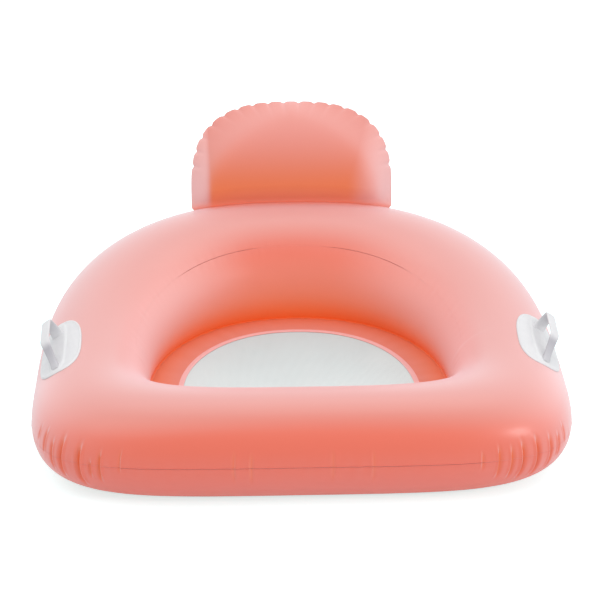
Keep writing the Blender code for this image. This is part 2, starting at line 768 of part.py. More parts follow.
def build_valve(prefix, place, film_panel):
    """A recessed valve, drawn pushed in. Local Z points out of the film, whose outer
    face is at 0, and the plug's tether runs along local X."""
    seat = -FILM - VALVE_SEAT_GAP
    floor = seat - VALVE_CUP_DEPTH
    sleeve_inner = STEM_RADIUS + GAP
    sleeve_outer = sleeve_inner + VALVE_WALL
    sleeve_end = floor - SLEEVE_DEPTH
    turned_piece(
        prefix + "_flange",
        [
            (VALVE_CUP_RADIUS, seat),
            (VALVE_FLANGE_RADIUS, seat),
            (VALVE_FLANGE_RADIUS, seat - VALVE_FLANGE_THICKNESS),
            (VALVE_CUP_RADIUS + VALVE_WALL, seat - VALVE_FLANGE_THICKNESS),
            (VALVE_CUP_RADIUS + VALVE_WALL, floor - VALVE_WALL),
            (sleeve_outer, floor - VALVE_WALL),
            (sleeve_outer, sleeve_end),
            (sleeve_inner, sleeve_end),
            (sleeve_inner, floor),
            (VALVE_CUP_RADIUS, floor),
        ],
        place, CLEAR_WHITE, closed=True,
    )

    rim_base = floor + GAP
    rim_top = rim_base + STEM_RIM_THICKNESS
    stop_top = sleeve_end - STEM_TRAVEL - GAP
    stem_end = stop_top - STEM_STOP_THICKNESS
    stem = turned_piece(
        prefix + "_stem",
        [
            (STEM_BORE_RADIUS, rim_top),
            (STEM_RIM_RADIUS, rim_top),
            (STEM_RIM_RADIUS, rim_base),
            (STEM_RADIUS, rim_base),
            (STEM_RADIUS, stop_top),
            (STEM_STOP_RADIUS, stop_top),
            (STEM_STOP_RADIUS, stem_end),
            (STEM_BORE_RADIUS, stem_end),
        ],
        place, CLEAR_WHITE, closed=True,
    )
    tab = block(
        prefix + "_tether_tab",
        ((STEM_BORE_RADIUS + STEM_RADIUS) / 2, -TETHER_WIDTH / 2, rim_base),
        (TETHER_REACH, TETHER_WIDTH / 2, rim_top),
        place,
    )
    add_boolean(stem, tab, "UNION")

    head_base = rim_top + GAP
    pin_radius = STEM_BORE_RADIUS - GAP
    plug = turned_piece(
        prefix + "_plug",
        [
            (0, head_base + PLUG_HEAD_THICKNESS),
            (PLUG_HEAD_RADIUS, head_base + PLUG_HEAD_THICKNESS),
            (PLUG_HEAD_RADIUS, head_base),
            (pin_radius, head_base),
            (pin_radius - PLUG_PIN_TAPER, head_base - PLUG_PIN_LENGTH),
            (0, head_base - PLUG_PIN_LENGTH),
        ],
        place, CLEAR_WHITE, closed=False,
    )
    strap = block(
        prefix + "_tether_strap",
        (pin_radius, -TETHER_WIDTH / 2, head_base),
        (TETHER_REACH, TETHER_WIDTH / 2, head_base + TETHER_THICKNESS),
        place,
    )
    add_boolean(plug, strap, "UNION")

    flap_top = stem_end - GAP
    flap = turned_piece(
        prefix + "_flap",
        [
            (0, flap_top),
            (FLAP_RADIUS, flap_top),
            (FLAP_RADIUS, flap_top - FLAP_THICKNESS),
            (0, flap_top - FLAP_THICKNESS),
        ],
        place, CLEAR_WHITE, closed=False,
    )

    slide = hinge_empty(prefix + "_stem_slide", place)
    plug_hinge = hinge_empty(
        prefix + "_plug_hinge", place @ Matrix.Translation((TETHER_REACH, 0, rim_top + GAP / 2))
    )
    flap_hinge = hinge_empty(
        prefix + "_flap_hinge", place @ Matrix.Translation((-FLAP_RADIUS, 0, flap_top))
    )
    for child, parent in (
        (stem, slide), (plug_hinge, slide), (flap_hinge, slide), (plug, plug_hinge), (flap, flap_hinge)
    ):
        child.parent = parent
        child.matrix_parent_inverse = parent.matrix_world.inverted()

    circle = [
        place @ Vector((x, y, 0))
        for x, y in superellipse(VALVE_HOLE_RADIUS, VALVE_HOLE_RADIUS, 2, VALVE_SIDES)
    ]
    hole = prism(prefix + "_hole", circle, place.to_3x3() @ Vector((0, 0, CUT_OVERRUN)))
    add_boolean(film_panel, hole, "DIFFERENCE")


def film_place(panel, start, way, along):
    """A placement in the middle of the facet that a ray meets: Z out of the film, X near `along`."""
    faces = [tuple(face.vertices) for face in panel.data.polygons]
    points = [v.co for v in panel.data.vertices]
    tree = BVHTree.FromPolygons(points, faces)
    first = tree.ray_cast(start, way)[2] // 2 * 2
    pair = panel.data.polygons[first], panel.data.polygons[first + 1]
    corners = set(faces[first] + faces[first + 1])
    middle = sum((points[v] for v in corners), Vector()) / len(corners)
    z = (pair[0].normal + pair[1].normal).normalized()
    y = z.cross(along).normalized()
    x = y.cross(z)
    return Matrix.Translation(middle) @ Matrix((x, y, z)).transposed().to_4x4()


def build_valves(plane):
    across = Vector((1, 0, 0))
    panel = bpy.data.objects["ring_top_panel"]
    start = Vector((RING_VALVE_ACROSS, FAR, RING_VALVE_HEIGHT))
    build_valve("ring_valve", film_place(panel, start, Vector((0, -1, 0)), across), panel)
    panel = bpy.data.objects["pillow_back_panel"]
    start = plane.place(PILLOW_VALVE_ACROSS, PILLOW_VALVE_UP, -FAR)
    build_valve("pillow_valve", film_place(panel, start, plane.front, across), panel)


clear_scene()
part = make_collection(PART_COLLECTION)
cutters = make_collection(CUTTER_COLLECTION)
WIDEST_Y = (FRONT_REACH - BACK_REACH) / 2
stations = ring_stations()
probe = ring_probe()
build_ring()
build_seat()
pillow_plane = build_pillow()
build_handle("handle_left", -1)
build_handle("handle_right", 1)
build_valves(pillow_plane)
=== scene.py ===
# %% [markdown]
# # Inflatable pool chair
# A ring of air in welded vinyl film, a net seat low inside it, a head pillow on its
# back and a moulded grab handle on each flank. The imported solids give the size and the
# motion. This lesson puts the real film, net, welds and mouldings over them.

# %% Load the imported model
import json
import math

import bmesh
import bpy
import numpy as np
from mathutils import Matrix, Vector
from mathutils.bvhtree import BVHTree
from mathutils.kdtree import KDTree


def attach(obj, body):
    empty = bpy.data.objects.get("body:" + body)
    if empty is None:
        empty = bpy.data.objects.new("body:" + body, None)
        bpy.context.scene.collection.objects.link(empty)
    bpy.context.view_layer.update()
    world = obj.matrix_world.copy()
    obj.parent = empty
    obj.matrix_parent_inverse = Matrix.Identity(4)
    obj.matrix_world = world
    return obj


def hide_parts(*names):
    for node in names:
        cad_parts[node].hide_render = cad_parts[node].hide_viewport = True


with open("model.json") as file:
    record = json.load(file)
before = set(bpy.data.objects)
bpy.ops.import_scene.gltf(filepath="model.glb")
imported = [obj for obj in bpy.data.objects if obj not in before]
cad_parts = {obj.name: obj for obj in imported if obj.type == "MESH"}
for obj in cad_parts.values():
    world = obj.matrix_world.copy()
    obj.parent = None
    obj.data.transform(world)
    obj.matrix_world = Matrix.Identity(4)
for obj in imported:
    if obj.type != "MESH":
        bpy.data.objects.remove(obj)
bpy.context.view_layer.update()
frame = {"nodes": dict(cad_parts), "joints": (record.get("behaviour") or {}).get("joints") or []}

# %% A helper that puts new data into the scene
def put(name, data):
    obj = bpy.data.objects.new(name, data)
    bpy.context.scene.collection.objects.link(obj)
    return obj

# %% [markdown]
# ## Camera
# The photograph looks down at the front from about 25 degrees with a long lens, so the
# ring hardly narrows towards its back. A long lens far away gives the same drawing.
# A camera close by with a wide lens would swell the front corners.

# %% Set the camera at the photograph's angle
CAMERA_AIM = Vector((0.0041, -0.049, 0.2662))
CAMERA_TURN = math.radians(-1.9)
CAMERA_TILT = math.radians(25.0)
CAMERA_DISTANCE = 4.6
CAMERA_LENS = 120.72
SENSOR_WIDTH = 36.0

camera_data = bpy.data.cameras.new("camera")
camera_data.lens = CAMERA_LENS
camera_data.sensor_width = SENSOR_WIDTH
camera = put("camera", camera_data)
towards = Vector((
    math.sin(CAMERA_TURN) * math.cos(CAMERA_TILT),
    -math.cos(CAMERA_TURN) * math.cos(CAMERA_TILT),
    math.sin(CAMERA_TILT),
))
camera.location = CAMERA_AIM + towards * CAMERA_DISTANCE
camera.rotation_mode = "QUATERNION"
camera.rotation_quaternion = (-towards).to_track_quat("-Z", "Y")
bpy.context.scene.camera = camera
print("camera at", [round(c, 3) for c in camera.location])

# %% [markdown]
# ## Wiring nodes in Python
# A finish is a small calculation on the surface. Placing every Math node by hand hides
# that calculation, so a small class wraps an output socket and lets plain Python
# arithmetic add the nodes. One method makes any other node. Shader trees and geometry
# trees are wired the same way.

# %% A wire that can be added and multiplied
def arithmetic(operation, turned=False):
    """A method that adds a Math node, with the other value first if it is turned round."""
    def method(self, other):
        pair = (other, self) if turned else (self, other)
        return self.board.math(operation, *pair)
    return method


class Wire:
    """An output socket. Arithmetic on it adds Math nodes to its board."""

    def __init__(self, board, socket):
        self.board = board
        self.socket = socket

    __add__ = arithmetic("ADD")
    __radd__ = arithmetic("ADD", turned=True)
    __sub__ = arithmetic("SUBTRACT")
    __rsub__ = arithmetic("SUBTRACT", turned=True)
    __mul__ = arithmetic("MULTIPLY")
    __rmul__ = arithmetic("MULTIPLY", turned=True)
    __truediv__ = arithmetic("DIVIDE")
    __gt__ = arithmetic("GREATER_THAN")
    __lt__ = arithmetic("LESS_THAN")


# %% A board that nodes are placed on
class Board:
    """A node tree, with one method that places a node, sets it and wires it."""

    def __init__(self, tree):
        self.tree = tree

    def node(self, kind, settings=None, sockets=None, output=0):
        placed = self.tree.nodes.new(kind)
        for name, value in (settings or {}).items():
            setattr(placed, name, value)
        for name, value in (sockets or {}).items():
            if isinstance(value, Wire):
                self.tree.links.new(value.socket, placed.inputs[name])
            else:
                placed.inputs[name].default_value = value
        return Wire(self, placed.outputs[output])

    def math(self, operation, *values):
        return self.node("ShaderNodeMath", {"operation": operation}, dict(enumerate(values)))

    def sine(self, value):
        return self.math("SINE", value)

    def larger(self, one, other):
        return self.math("MAXIMUM", one, other)

    def clamped(self, value):
        return self.node("ShaderNodeClamp", None, {"Value": value})


class Finish(Board):
    """A material round one Principled shader. Fixed numbers go straight on its sockets."""

    def __init__(self, name, fixed):
        self.material = bpy.data.materials.new(name)
        self.material.use_nodes = True
        super().__init__(self.material.node_tree)
        self.surface = self.tree.nodes["Principled BSDF"]
        for socket, value in fixed.items():
            self.surface.inputs[socket].default_value = value
        self.place = self.node("ShaderNodeTexCoord", output=3)

    def axis(self, name):
        return self.node("ShaderNodeSeparateXYZ", None, {"Vector": self.place}, name)

    def noise(self, scale, detail=2.0, vector=None):
        sockets = {"Vector": vector or self.place, "Scale": scale, "Detail": detail}
        return self.node("ShaderNodeTexNoise", None, sockets, "Fac")

    def attribute(self, name):
        return self.node("ShaderNodeAttribute", {"attribute_name": name}, None, "Fac")

    def mix(self, share, first, second):
        return self.node(
            "ShaderNodeMix", {"data_type": "RGBA"}, {0: share, 6: first, 7: second}, 2
        )

    def feed(self, socket, wire):
        self.tree.links.new(wire.socket, self.surface.inputs[socket])

    def veiled(self, share, veil):
        """Lays a second shader over the first, by a share that may vary."""
        first = Wire(self, self.surface.outputs["BSDF"])
        both = self.node("ShaderNodeMixShader", None, {0: share, 1: first, 2: veil})
        self.tree.links.new(both.socket, self.tree.nodes["Material Output"].inputs["Surface"])

    def bump(self, height, distance, strength=1.0):
        sockets = {"Height": height, "Distance": distance, "Strength": strength}
        self.feed("Normal", self.node("ShaderNodeBump", None, sockets))


# %% [markdown]
# ## Vinyl film
# The ring, the seat border and the pillow are one soft vinyl film, 0.45 mm thick and
# dyed coral. Its skin is satin: deep in tone seen straight on, and pale where the eye
# skims along it. A plain gloss would look like painted metal, so a pale rough veil is
# laid over the film by the angle at which it is seen, under a soft coat. The welds are
# pressed with a knurled tool, which shows as a fine crossed pattern on the fins.
#
# Light also travels through such a thin film. Subsurface scattering was tried for that
# and left out. Light and shade are painted into the film's colour instead, by marks from
# 0 to 1 on every vertex. Sheltered paints shade deep orange where the film is hidden: in
# the well, in grooves, low on the pillow and on the seat border. Below paints the side
# turned from the sky redder. Backlit paints the film paler, as if lit from within.
# Touching paints a glow where pillow and ring lie together. Matt is too hidden to mirror
# a lamp and only takes the coat off. A weak painted glow in the emission stands in for
# the light inside.

# %% The coral film
CORAL = (0.705, 0.234, 0.184, 1.0)
CORAL_CLOUD = (0.693, 0.221, 0.170, 1.0)
# Colours of painted shade and light: deep orange for shade, red for the side turned from the sky,
# pale coral for light as if through the film.
CORAL_PAINTED_SHADE = (0.86, 0.195, 0.022, 1.0)
CORAL_PAINTED_UNDERSIDE = (0.90, 0.098, 0.030, 1.0)
CORAL_PAINTED_BACKLIGHT = (0.80, 0.380, 0.340, 1.0)
# A darker copy of the film for the seat border, as painted shade from the well round it.
BORDER_SHADED_CORAL = (0.610, 0.150, 0.120, 1.0)
BORDER_SHADED_CLOUD = (0.590, 0.140, 0.105, 1.0)
PALE_CORAL = (0.84, 0.40, 0.36, 1.0)
PALE_CLOUD = (0.86, 0.30, 0.25, 1.0)
# Painted glow, given as emission: in shade, where backlit, and where pillow and ring touch.
NO_GLOW = (0.0, 0.0, 0.0, 1.0)
GLOW_DEEP = (0.40, 0.055, 0.007, 1.0)
GLOW_PAINTED_BACKLIGHT = (0.27, 0.13, 0.13, 1.0)
GLOW_TOUCH = (0.72, 0.31, 0.20, 1.0)
GLOW = 0.30
BLOOM = (1.0, 0.87, 0.94, 1.0)
BLOOM_SHARE = 0.50
BORDER_BLOOM = 0.25
BLOOM_POWER = 1.05
BLOOM_LOST_IN_SHADE = 1.05
COAT = 0.85
SATIN_ROUGHNESS = 0.36
HAZE_ROUGHNESS = 0.12
WELD_ROUGHNESS = 0.08
WELD_CLOUD = 0.25
KNURL_PITCH = 0.0014
KNURL_BUMP, GRAIN_BUMP, SLACK_BUMP = 0.12, 0.02, 0.45


def coral_film(name, tint, cloud_tint, bloom_share=BLOOM_SHARE):
    film = Finish(name, {
        "IOR": 1.25,
        "Coat IOR": 1.5,
        "Coat Roughness": 0.26,
        "Emission Strength": GLOW,
    })
    marks = ("weld", "sheltered", "below", "backlit", "touching", "matt")
    weld, sheltered, below, backlit, touching, matt = (film.attribute(mark) for mark in marks)

    tone = film.mix(film.noise(2.4, 3.0), tint, cloud_tint)
    # Painted shade and light: redder where turned from the sky, deep orange where sheltered, paler
    # where backlit.
    tone = film.mix(below, tone, CORAL_PAINTED_UNDERSIDE)
    tone = film.mix(sheltered, tone, CORAL_PAINTED_SHADE)
    tone = film.mix(backlit, tone, CORAL_PAINTED_BACKLIGHT)
    film.feed("Base Color", film.mix(weld * WELD_CLOUD, tone, cloud_tint))

    # Painted glow in the emission, in shade, where backlit and where touching.
    shade = film.larger(sheltered, below * below)
    glow = film.mix(shade * shade, NO_GLOW, GLOW_DEEP)
    glow = film.mix(backlit, glow, GLOW_PAINTED_BACKLIGHT)
    film.feed("Emission Color", film.mix(touching, glow, GLOW_TOUCH))

    facing = film.node("ShaderNodeLayerWeight", None, {"Blend": 0.5}, "Facing")
    bloom = film.node("ShaderNodeBsdfPrincipled", None, {
        "Base Color": BLOOM, "Roughness": 0.9, "IOR": 1.2,
    })
    grazing = film.math("POWER", facing, BLOOM_POWER)
    film.veiled(grazing * (1.0 - shade * shade * BLOOM_LOST_IN_SHADE) * bloom_share, bloom)
    film.feed("Coat Weight", (1.0 - film.larger(shade, matt)) * COAT)
    haze = (film.noise(7.0, 4.0) - 0.5) * HAZE_ROUGHNESS
    film.feed("Roughness", SATIN_ROUGHNESS + haze + weld * WELD_ROUGHNESS)

    turn = 2 * math.pi / KNURL_PITCH
    knurl = film.sine((film.axis("X") + film.axis("Y")) * turn)
    knurl = knurl * film.sine((film.axis("X") - film.axis("Y") + film.axis("Z")) * turn)
    grain = film.noise(1400.0, 2.0) * GRAIN_BUMP
    slack = film.noise(16.0, 1.0) * SLACK_BUMP
    film.bump(knurl * weld * KNURL_BUMP + grain + slack, 0.001)
    return film.material


film_material = coral_film("coral_film", CORAL, CORAL_CLOUD)
# The seat border's film is painted darker, as shade.
border_shaded_material = coral_film("seat_border_film", BORDER_SHADED_CORAL, BORDER_SHADED_CLOUD, BORDER_BLOOM)
strip_material = coral_film("pale_weld_strip", PALE_CORAL, PALE_CLOUD)
print("films:", film_material.name, border_shaded_material.name, strip_material.name)

# %% [markdown]
# ## Net, moulding and valve plastic
# The seat is a warp-knitted polyester net. Its holes are finer than a picture element,
# so the holes are cut with the Alpha socket, and nothing is gained from modelling each
# thread. Shade is painted into the net's colour, darker towards the back. The handles are
# white moulded vinyl with a fine moulded grain, and shade is painted grey on the legs of
# their straps. The valves are milky clear vinyl.

# %% The net
WALE_PITCH = 0.0026
COURSE_PITCH = 0.0032
HOLE_CLEARNESS = 0.35
NET_SHADED_BACK = (0.485, 0.555, 0.560, 1)
NET_LIT_FRONT = (0.700, 0.785, 0.785, 1)


def net_finish():
    net = Finish("white_net", {"Roughness": 0.7, "IOR": 1.3})
    wale = net.sine(net.axis("X") * (math.pi / WALE_PITCH))
    course = net.sine(net.axis("Y") * (math.pi / COURSE_PITCH))
    opening = wale * course
    hole = net.clamped((opening * opening - 0.30) * 4.0)
    net.feed("Alpha", 1.0 - hole * HOLE_CLEARNESS)
    # Painted shade: the net's colour darkens towards the back of the seat.
    forward = net.clamped(net.noise(9.0, 2.0) * 0.3 + 0.55 - net.axis("Y") * 2.2)
    net.feed("Base Color", net.mix(forward, NET_SHADED_BACK, NET_LIT_FRONT))
    yarn = net.sine(net.axis("X") * (2 * math.pi / WALE_PITCH))
    net.bump(yarn * 0.3 + (1.0 - hole) * 0.5, 0.00012)
    return net.material


net_material = net_finish()


# %% The white moulding and the milky valve plastic
# The grey of the shade painted on the straps' legs.
LEG_SHADE_GREY = (0.40, 0.39, 0.43, 1)


def moulding_finish(name, colour, shade, fixed):
    moulding = Finish(name, fixed)
    cloud = moulding.noise(30.0, 3.0)
    tone = moulding.mix(cloud, colour, shade)
    # Painted shade: the mark greys the straps' legs, and is 0 or missing elsewhere.
    moulding.feed("Base Color", moulding.mix(moulding.attribute("thinness"), tone, LEG_SHADE_GREY))
    rub = moulding.noise(60.0, 5.0)
    moulding.feed("Roughness", 0.34 + rub * 0.16)
    moulding.bump(moulding.noise(2600.0, 2.0) * 0.04 + cloud * 0.05, 0.001)
    return moulding.material


white_material = moulding_finish(
    "white_moulding", (0.78, 0.78, 0.79, 1), (0.71, 0.71, 0.73, 1), {"IOR": 1.45}
)
valve_material = moulding_finish(
    "milky_valve_plastic", (0.78, 0.80, 0.80, 1), (0.70, 0.73, 0.74, 1),
    {"IOR": 1.52, "Subsurface Weight": 0.3, "Subsurface Radius": (0.003, 0.003, 0.003),
     "Subsurface Scale": 1.0, "Coat Weight": 0.3, "Coat Roughness": 0.15},
)
print("net and mouldings ready")

# %% [markdown]
# ## The ring's plan
# Seen from above, the ring is a superellipse with a flatter front than back, and the
# well inside it is another. Both are cut into the same number of stations, closer
# together where the curve turns. At each station the tube is an ellipse, higher at the
# back. These rules are enough for every panel, so no outline is traced.

# %% Sizes of the ring
FILM = 0.00045
GAP = 0.0003
RING_HALF_WIDTH = 0.594
FRONT_REACH = 0.401
BACK_REACH = 0.699
FRONT_TUBE_RADIUS = 0.1163
SIDE_TUBE_RADIUS = 0.127
BACK_TUBE_RADIUS = 0.161
FLOOR_PRESS = 0.004
FRONT_SQUARENESS = 4.8
BACK_SQUARENESS = 2.68
WELL_FRONT_SQUARENESS = 3.2
WELL_BACK_SQUARENESS = 2.07
BACK_STATIONS = 15
FRONT_STATIONS = 16
TURN_LENGTH = 0.12
WIDEST_Y = (FRONT_REACH - BACK_REACH) / 2
STATIONS = 2 * (BACK_STATIONS + FRONT_STATIONS)
FINENESS = 30
COARSE_STEP = 3
FINE_ARCS = ((34.5, 40.5), (43.2, 48.7), (51.3, 57.0))
SEAT_HEIGHT = 0.080
BORDER_FILM = 0.0006
WALL_SEAM_ANGLE = math.radians(41.5)
FRONT_WALL_HEIGHT = 0.030
WALL_RISE_SHARES = (0.12, 0.45)


# %% Stations round the ring
CURVE_SAMPLES = 1201


def smooth_step(value):
    """0 below 0, 1 above 1, and a soft rise between them."""
    value = np.clip(value, 0, 1)
    return value * value * (3 - 2 * value)


def spread(wanted, measure, points):
    """Places at the wanted measures along a line of plane points."""
    return np.c_[
        np.interp(wanted, measure, points[:, 0]), np.interp(wanted, measure, points[:, 1])
    ]


def quarter_curve(half_width, reach, squareness, count):
    """Places on a superellipse quarter at equal shares of length and turning."""
    turn = np.linspace(0, math.pi / 2, CURVE_SAMPLES)
    cosine = np.clip(np.cos(turn), 0, None)
    points = np.c_[
        half_width * cosine ** (2 / squareness), reach * np.sin(turn) ** (2 / squareness)
    ]
    step = np.diff(points, axis=0)
    heading = np.unwrap(np.arctan2(step[:, 1], step[:, 0]))
    turned = np.r_[0, np.abs(np.diff(heading))]
    measure = np.r_[0, np.cumsum(np.hypot(*step.T) + TURN_LENGTH * turned)]
    wanted = np.linspace(0, measure[-1], count + 1)
    return spread(wanted, measure, points)


def whole_curve(back, front):
    """Four quarters, counter-clockwise from the right side, closed on its first point."""
    parts = [back[:-1], back[:0:-1] * [-1, 1], front[:-1] * [-1, -1], front[:0:-1] * [1, -1]]
    loop = np.concatenate(parts)
    return np.concatenate([loop, loop[:1]])


def plan_curve(half_width, back, front):
    quarters = [
        quarter_curve(half_width, reach, squareness, count * FINENESS)
        for (reach, squareness), count in ((back, BACK_STATIONS), (front, FRONT_STATIONS))
    ]
    return whole_curve(*quarters)


outer = plan_curve(
    RING_HALF_WIDTH, (BACK_REACH, BACK_SQUARENESS), (FRONT_REACH, FRONT_SQUARENESS)
)
inner = plan_curve(
    RING_HALF_WIDTH - 2 * SIDE_TUBE_RADIUS,
    (BACK_REACH - 2 * BACK_TUBE_RADIUS, WELL_BACK_SQUARENESS),
    (FRONT_REACH - 2 * FRONT_TUBE_RADIUS, WELL_FRONT_SQUARENESS),
)
column_number = np.arange(len(outer))
station_at = column_number / FINENESS
kept = column_number % COARSE_STEP == 0
for first, last in FINE_ARCS:
    kept |= (station_at > first) & (station_at < last)
outer, inner, station_at = outer[kept], inner[kept], station_at[kept]
around = 2 * math.pi * station_at / STATIONS
print("columns round the ring:", len(outer) - 1)


# %% The tube's section at every station
def flat3(points):
    return np.c_[points, np.zeros(len(points))]


# The share is 0 at the front and 1 at the back. A quadratic joins the three radii.
share = np.clip((outer[:, 1] + FRONT_REACH) / (FRONT_REACH + BACK_REACH), 0, 1)
radius = (
    FRONT_TUBE_RADIUS * (1 - share) * (1 - 2 * share)
    + SIDE_TUBE_RADIUS * 4 * share * (1 - share)
    + BACK_TUBE_RADIUS * share * (2 * share - 1)
)
half = np.hypot(*(outer - inner).T) / 2
out = flat3((outer - inner) / (2 * half[:, None]))
level = radius - FLOOR_PRESS
middle = flat3((outer + inner) / 2 + [0, WIDEST_Y])
middle[:, 2] = level


def tube_direction(index, angle):
    """The way straight off the tube, at these columns and angles."""
    way = -out[index] * (np.cos(angle) / half[index])[:, None]
    way[:, 2] = np.sin(angle) / radius[index]
    return way / np.linalg.norm(way, axis=1)[:, None]


def tube_normal(angle):
    return tube_direction(slice(None), angle)


def tube_point(angle):
    """Places on the tube: angle 0 at the inner side, a quarter turn at the top."""
    place = middle - out * (half * np.cos(angle))[:, None]
    place[:, 2] += radius * np.sin(angle)
    return place


def angle_at(height):
    """The angle on the inner side where the tube has this height."""
    return np.arcsin((height - level) / radius)


rise_from, rise_to = WALL_RISE_SHARES
rise = smooth_step((share - rise_from) / (rise_to - rise_from))
low_seam = angle_at(SEAT_HEIGHT + FRONT_WALL_HEIGHT)
seam_angle = low_seam + (WALL_SEAM_ANGLE - low_seam) * rise
print("tube radius", round(radius.min(), 4), "to", round(radius.max(), 4))

# %% [markdown]
# ## One tree for three panels
# The ring is three panels of film: one over the top, one down the inner side and one
# underneath, joined by flat weld fins. Each is the tube between two angles with a fin at
# either end. A geometry tree sweeps such a panel. It reads the sections from a guide, a
# closed line whose points carry the sizes, so one tree makes all three panels. Bending
# three flat sheets by hand would need three sets of loops that have to agree.


# %% A helper that runs a tree
def new_tree(name, inputs):
    tree = bpy.data.node_groups.new(name, "GeometryNodeTree")
    for label, kind in inputs:
        tree.interface.new_socket(name=label, in_out="INPUT", socket_type=kind)
    tree.interface.new_socket(name="Result", in_out="OUTPUT", socket_type="NodeSocketGeometry")
    board = Board(tree)
    entry = tree.nodes.new("NodeGroupInput")
    taken = {label: Wire(board, entry.outputs[label]) for label, _ in inputs}
    return board, taken


def end_tree(board, geometry, material):
    """Every tree ends in real geometry with its finish on it."""
    real = board.node("GeometryNodeRealizeInstances", None, {"Geometry": geometry})
    done = board.node("GeometryNodeSetMaterial", None, {"Geometry": real, "Material": material})
    leave = board.tree.nodes.new("NodeGroupOutput")
    board.tree.links.new(done.socket, leave.inputs["Result"])
    return board.tree


def real_mesh(obj):
    """The object's mesh with its modifiers carried out."""
    graph = bpy.context.evaluated_depsgraph_get()
    return bpy.data.meshes.new_from_object(obj.evaluated_get(graph))


def run_tree(tree, guide, values, name):
    """The tree's result on a guide, as a plain mesh object."""
    modifier = guide.modifiers.new("tree", "NODES")
    modifier.node_group = tree
    for item in tree.interface.items_tree:
        if item.name in values:
            modifier[item.identifier] = values[item.name]
    mesh = real_mesh(guide)
    bpy.data.objects.remove(guide)
    mesh.name = name
    return put(name, mesh)


def guide_line(name, points, attributes):
    """A line of points that carry named numbers or vectors."""
    edges = [(k, k + 1) for k in range(len(points) - 1)]
    mesh = bpy.data.meshes.new(name)
    mesh.from_pydata([tuple(p) for p in points], edges, [])
    for label, values in attributes.items():
        values = np.asarray(values, float)
        kind, key = ("FLOAT_VECTOR", "vector") if values.ndim == 2 else ("FLOAT", "value")
        mesh.attributes.new(label, kind, "POINT").data.foreach_set(key, values.ravel())
    return put(name, mesh)


# %% The panel tree
MERGE_DISTANCE = 1e-6


def panel_tree():
    board, given = new_tree("ring panel", (
        ("Guide", "NodeSocketGeometry"), ("Columns", "NodeSocketInt"),
        ("Rows", "NodeSocketInt"), ("Film", "NodeSocketMaterial"),
    ))
    rows = given["Rows"]
    grid = board.node("GeometryNodeMeshGrid", None, {
        "Vertices X": given["Columns"], "Vertices Y": rows,
    })
    index = board.node("GeometryNodeInputIndex")
    column = board.math("FLOOR", (index + 0.5) / rows)
    row = index - column * rows

    def carried(label, kind):
        """What the guide carries under this name, at the vertex's own column."""
        value = board.node("GeometryNodeInputNamedAttribute", {"data_type": kind}, {"Name": label})
        return board.node("GeometryNodeSampleIndex", {"data_type": kind}, {
            "Geometry": given["Guide"], "Value": value, "Index": column,
        })

    def vector_math(operation, sockets):
        return board.node("ShaderNodeVectorMath", {"operation": operation}, sockets)

    def scaled(vector, factor):
        return vector_math("SCALE", {0: vector, "Scale": factor})

    def summed(first, second):
        return vector_math("ADD", {0: first, 1: second})

    even = board.clamped((row - 1.0) / (rows - 3.0))
    along = 0.5 - board.math("COSINE", even * math.pi) * 0.5
    start = carried("start", "FLOAT")
    angle = start + (carried("end", "FLOAT") - start) * along
    inwards = carried("half", "FLOAT") * board.math("COSINE", angle)
    place = summed(
        carried("middle", "FLOAT_VECTOR"),
        scaled(carried("out", "FLOAT_VECTOR"), inwards * -1.0),
    )
    upright = board.node("ShaderNodeCombineXYZ", None, {
        "Z": carried("radius", "FLOAT") * board.sine(angle),
    })
    at_first = row < 0.5
    at_last = row > rows - 1.5
    place = summed(place, upright)
    place = summed(place, scaled(carried("first fin", "FLOAT_VECTOR"), at_first))
    place = summed(place, scaled(carried("last fin", "FLOAT_VECTOR"), at_last))
    parts = {
        name: board.node("ShaderNodeSeparateXYZ", None, {"Vector": place}, name) for name in "XYZ"
    }
    parts["Z"] = board.larger(parts["Z"], 0.0)
    pressed = board.node("ShaderNodeCombineXYZ", None, parts)
    moved = board.node("GeometryNodeSetPosition", None, {"Geometry": grid, "Position": pressed})
    # The script reads column and angle back from the swept mesh, to find its place on the tube.
    for label, value in (("column", column), ("angle", angle), ("weld", at_first + at_last)):
        moved = board.node("GeometryNodeStoreNamedAttribute", {"data_type": "FLOAT"}, {
            "Geometry": moved, "Name": label, "Value": value,
        })
    welded = board.node("GeometryNodeMergeByDistance", None, {
        "Geometry": moved, "Distance": MERGE_DISTANCE,
    })
    smooth = board.node("GeometryNodeSetShadeSmooth", None, {"Geometry": welded})
    return end_tree(board, smooth, given["Film"])


ring_tree = panel_tree()
print("panel tree:", len(ring_tree.nodes), "nodes")

# %% [markdown]
# ## Puckers and pleats
# Film is flat before it is welded, so on a bend the spare length has to go somewhere. It
# gathers into pleats that cross the seam, strong at the two front corners and faint
# along the straight sides. Each pleat is a narrow groove with a sharp ridge beside it.
# The pleats are pressed in along the normals of the plain tube, so that the films on both
# sides of a seam move alike. A simulation of the whole ring would put the pleats in other
# places than the ones seen.

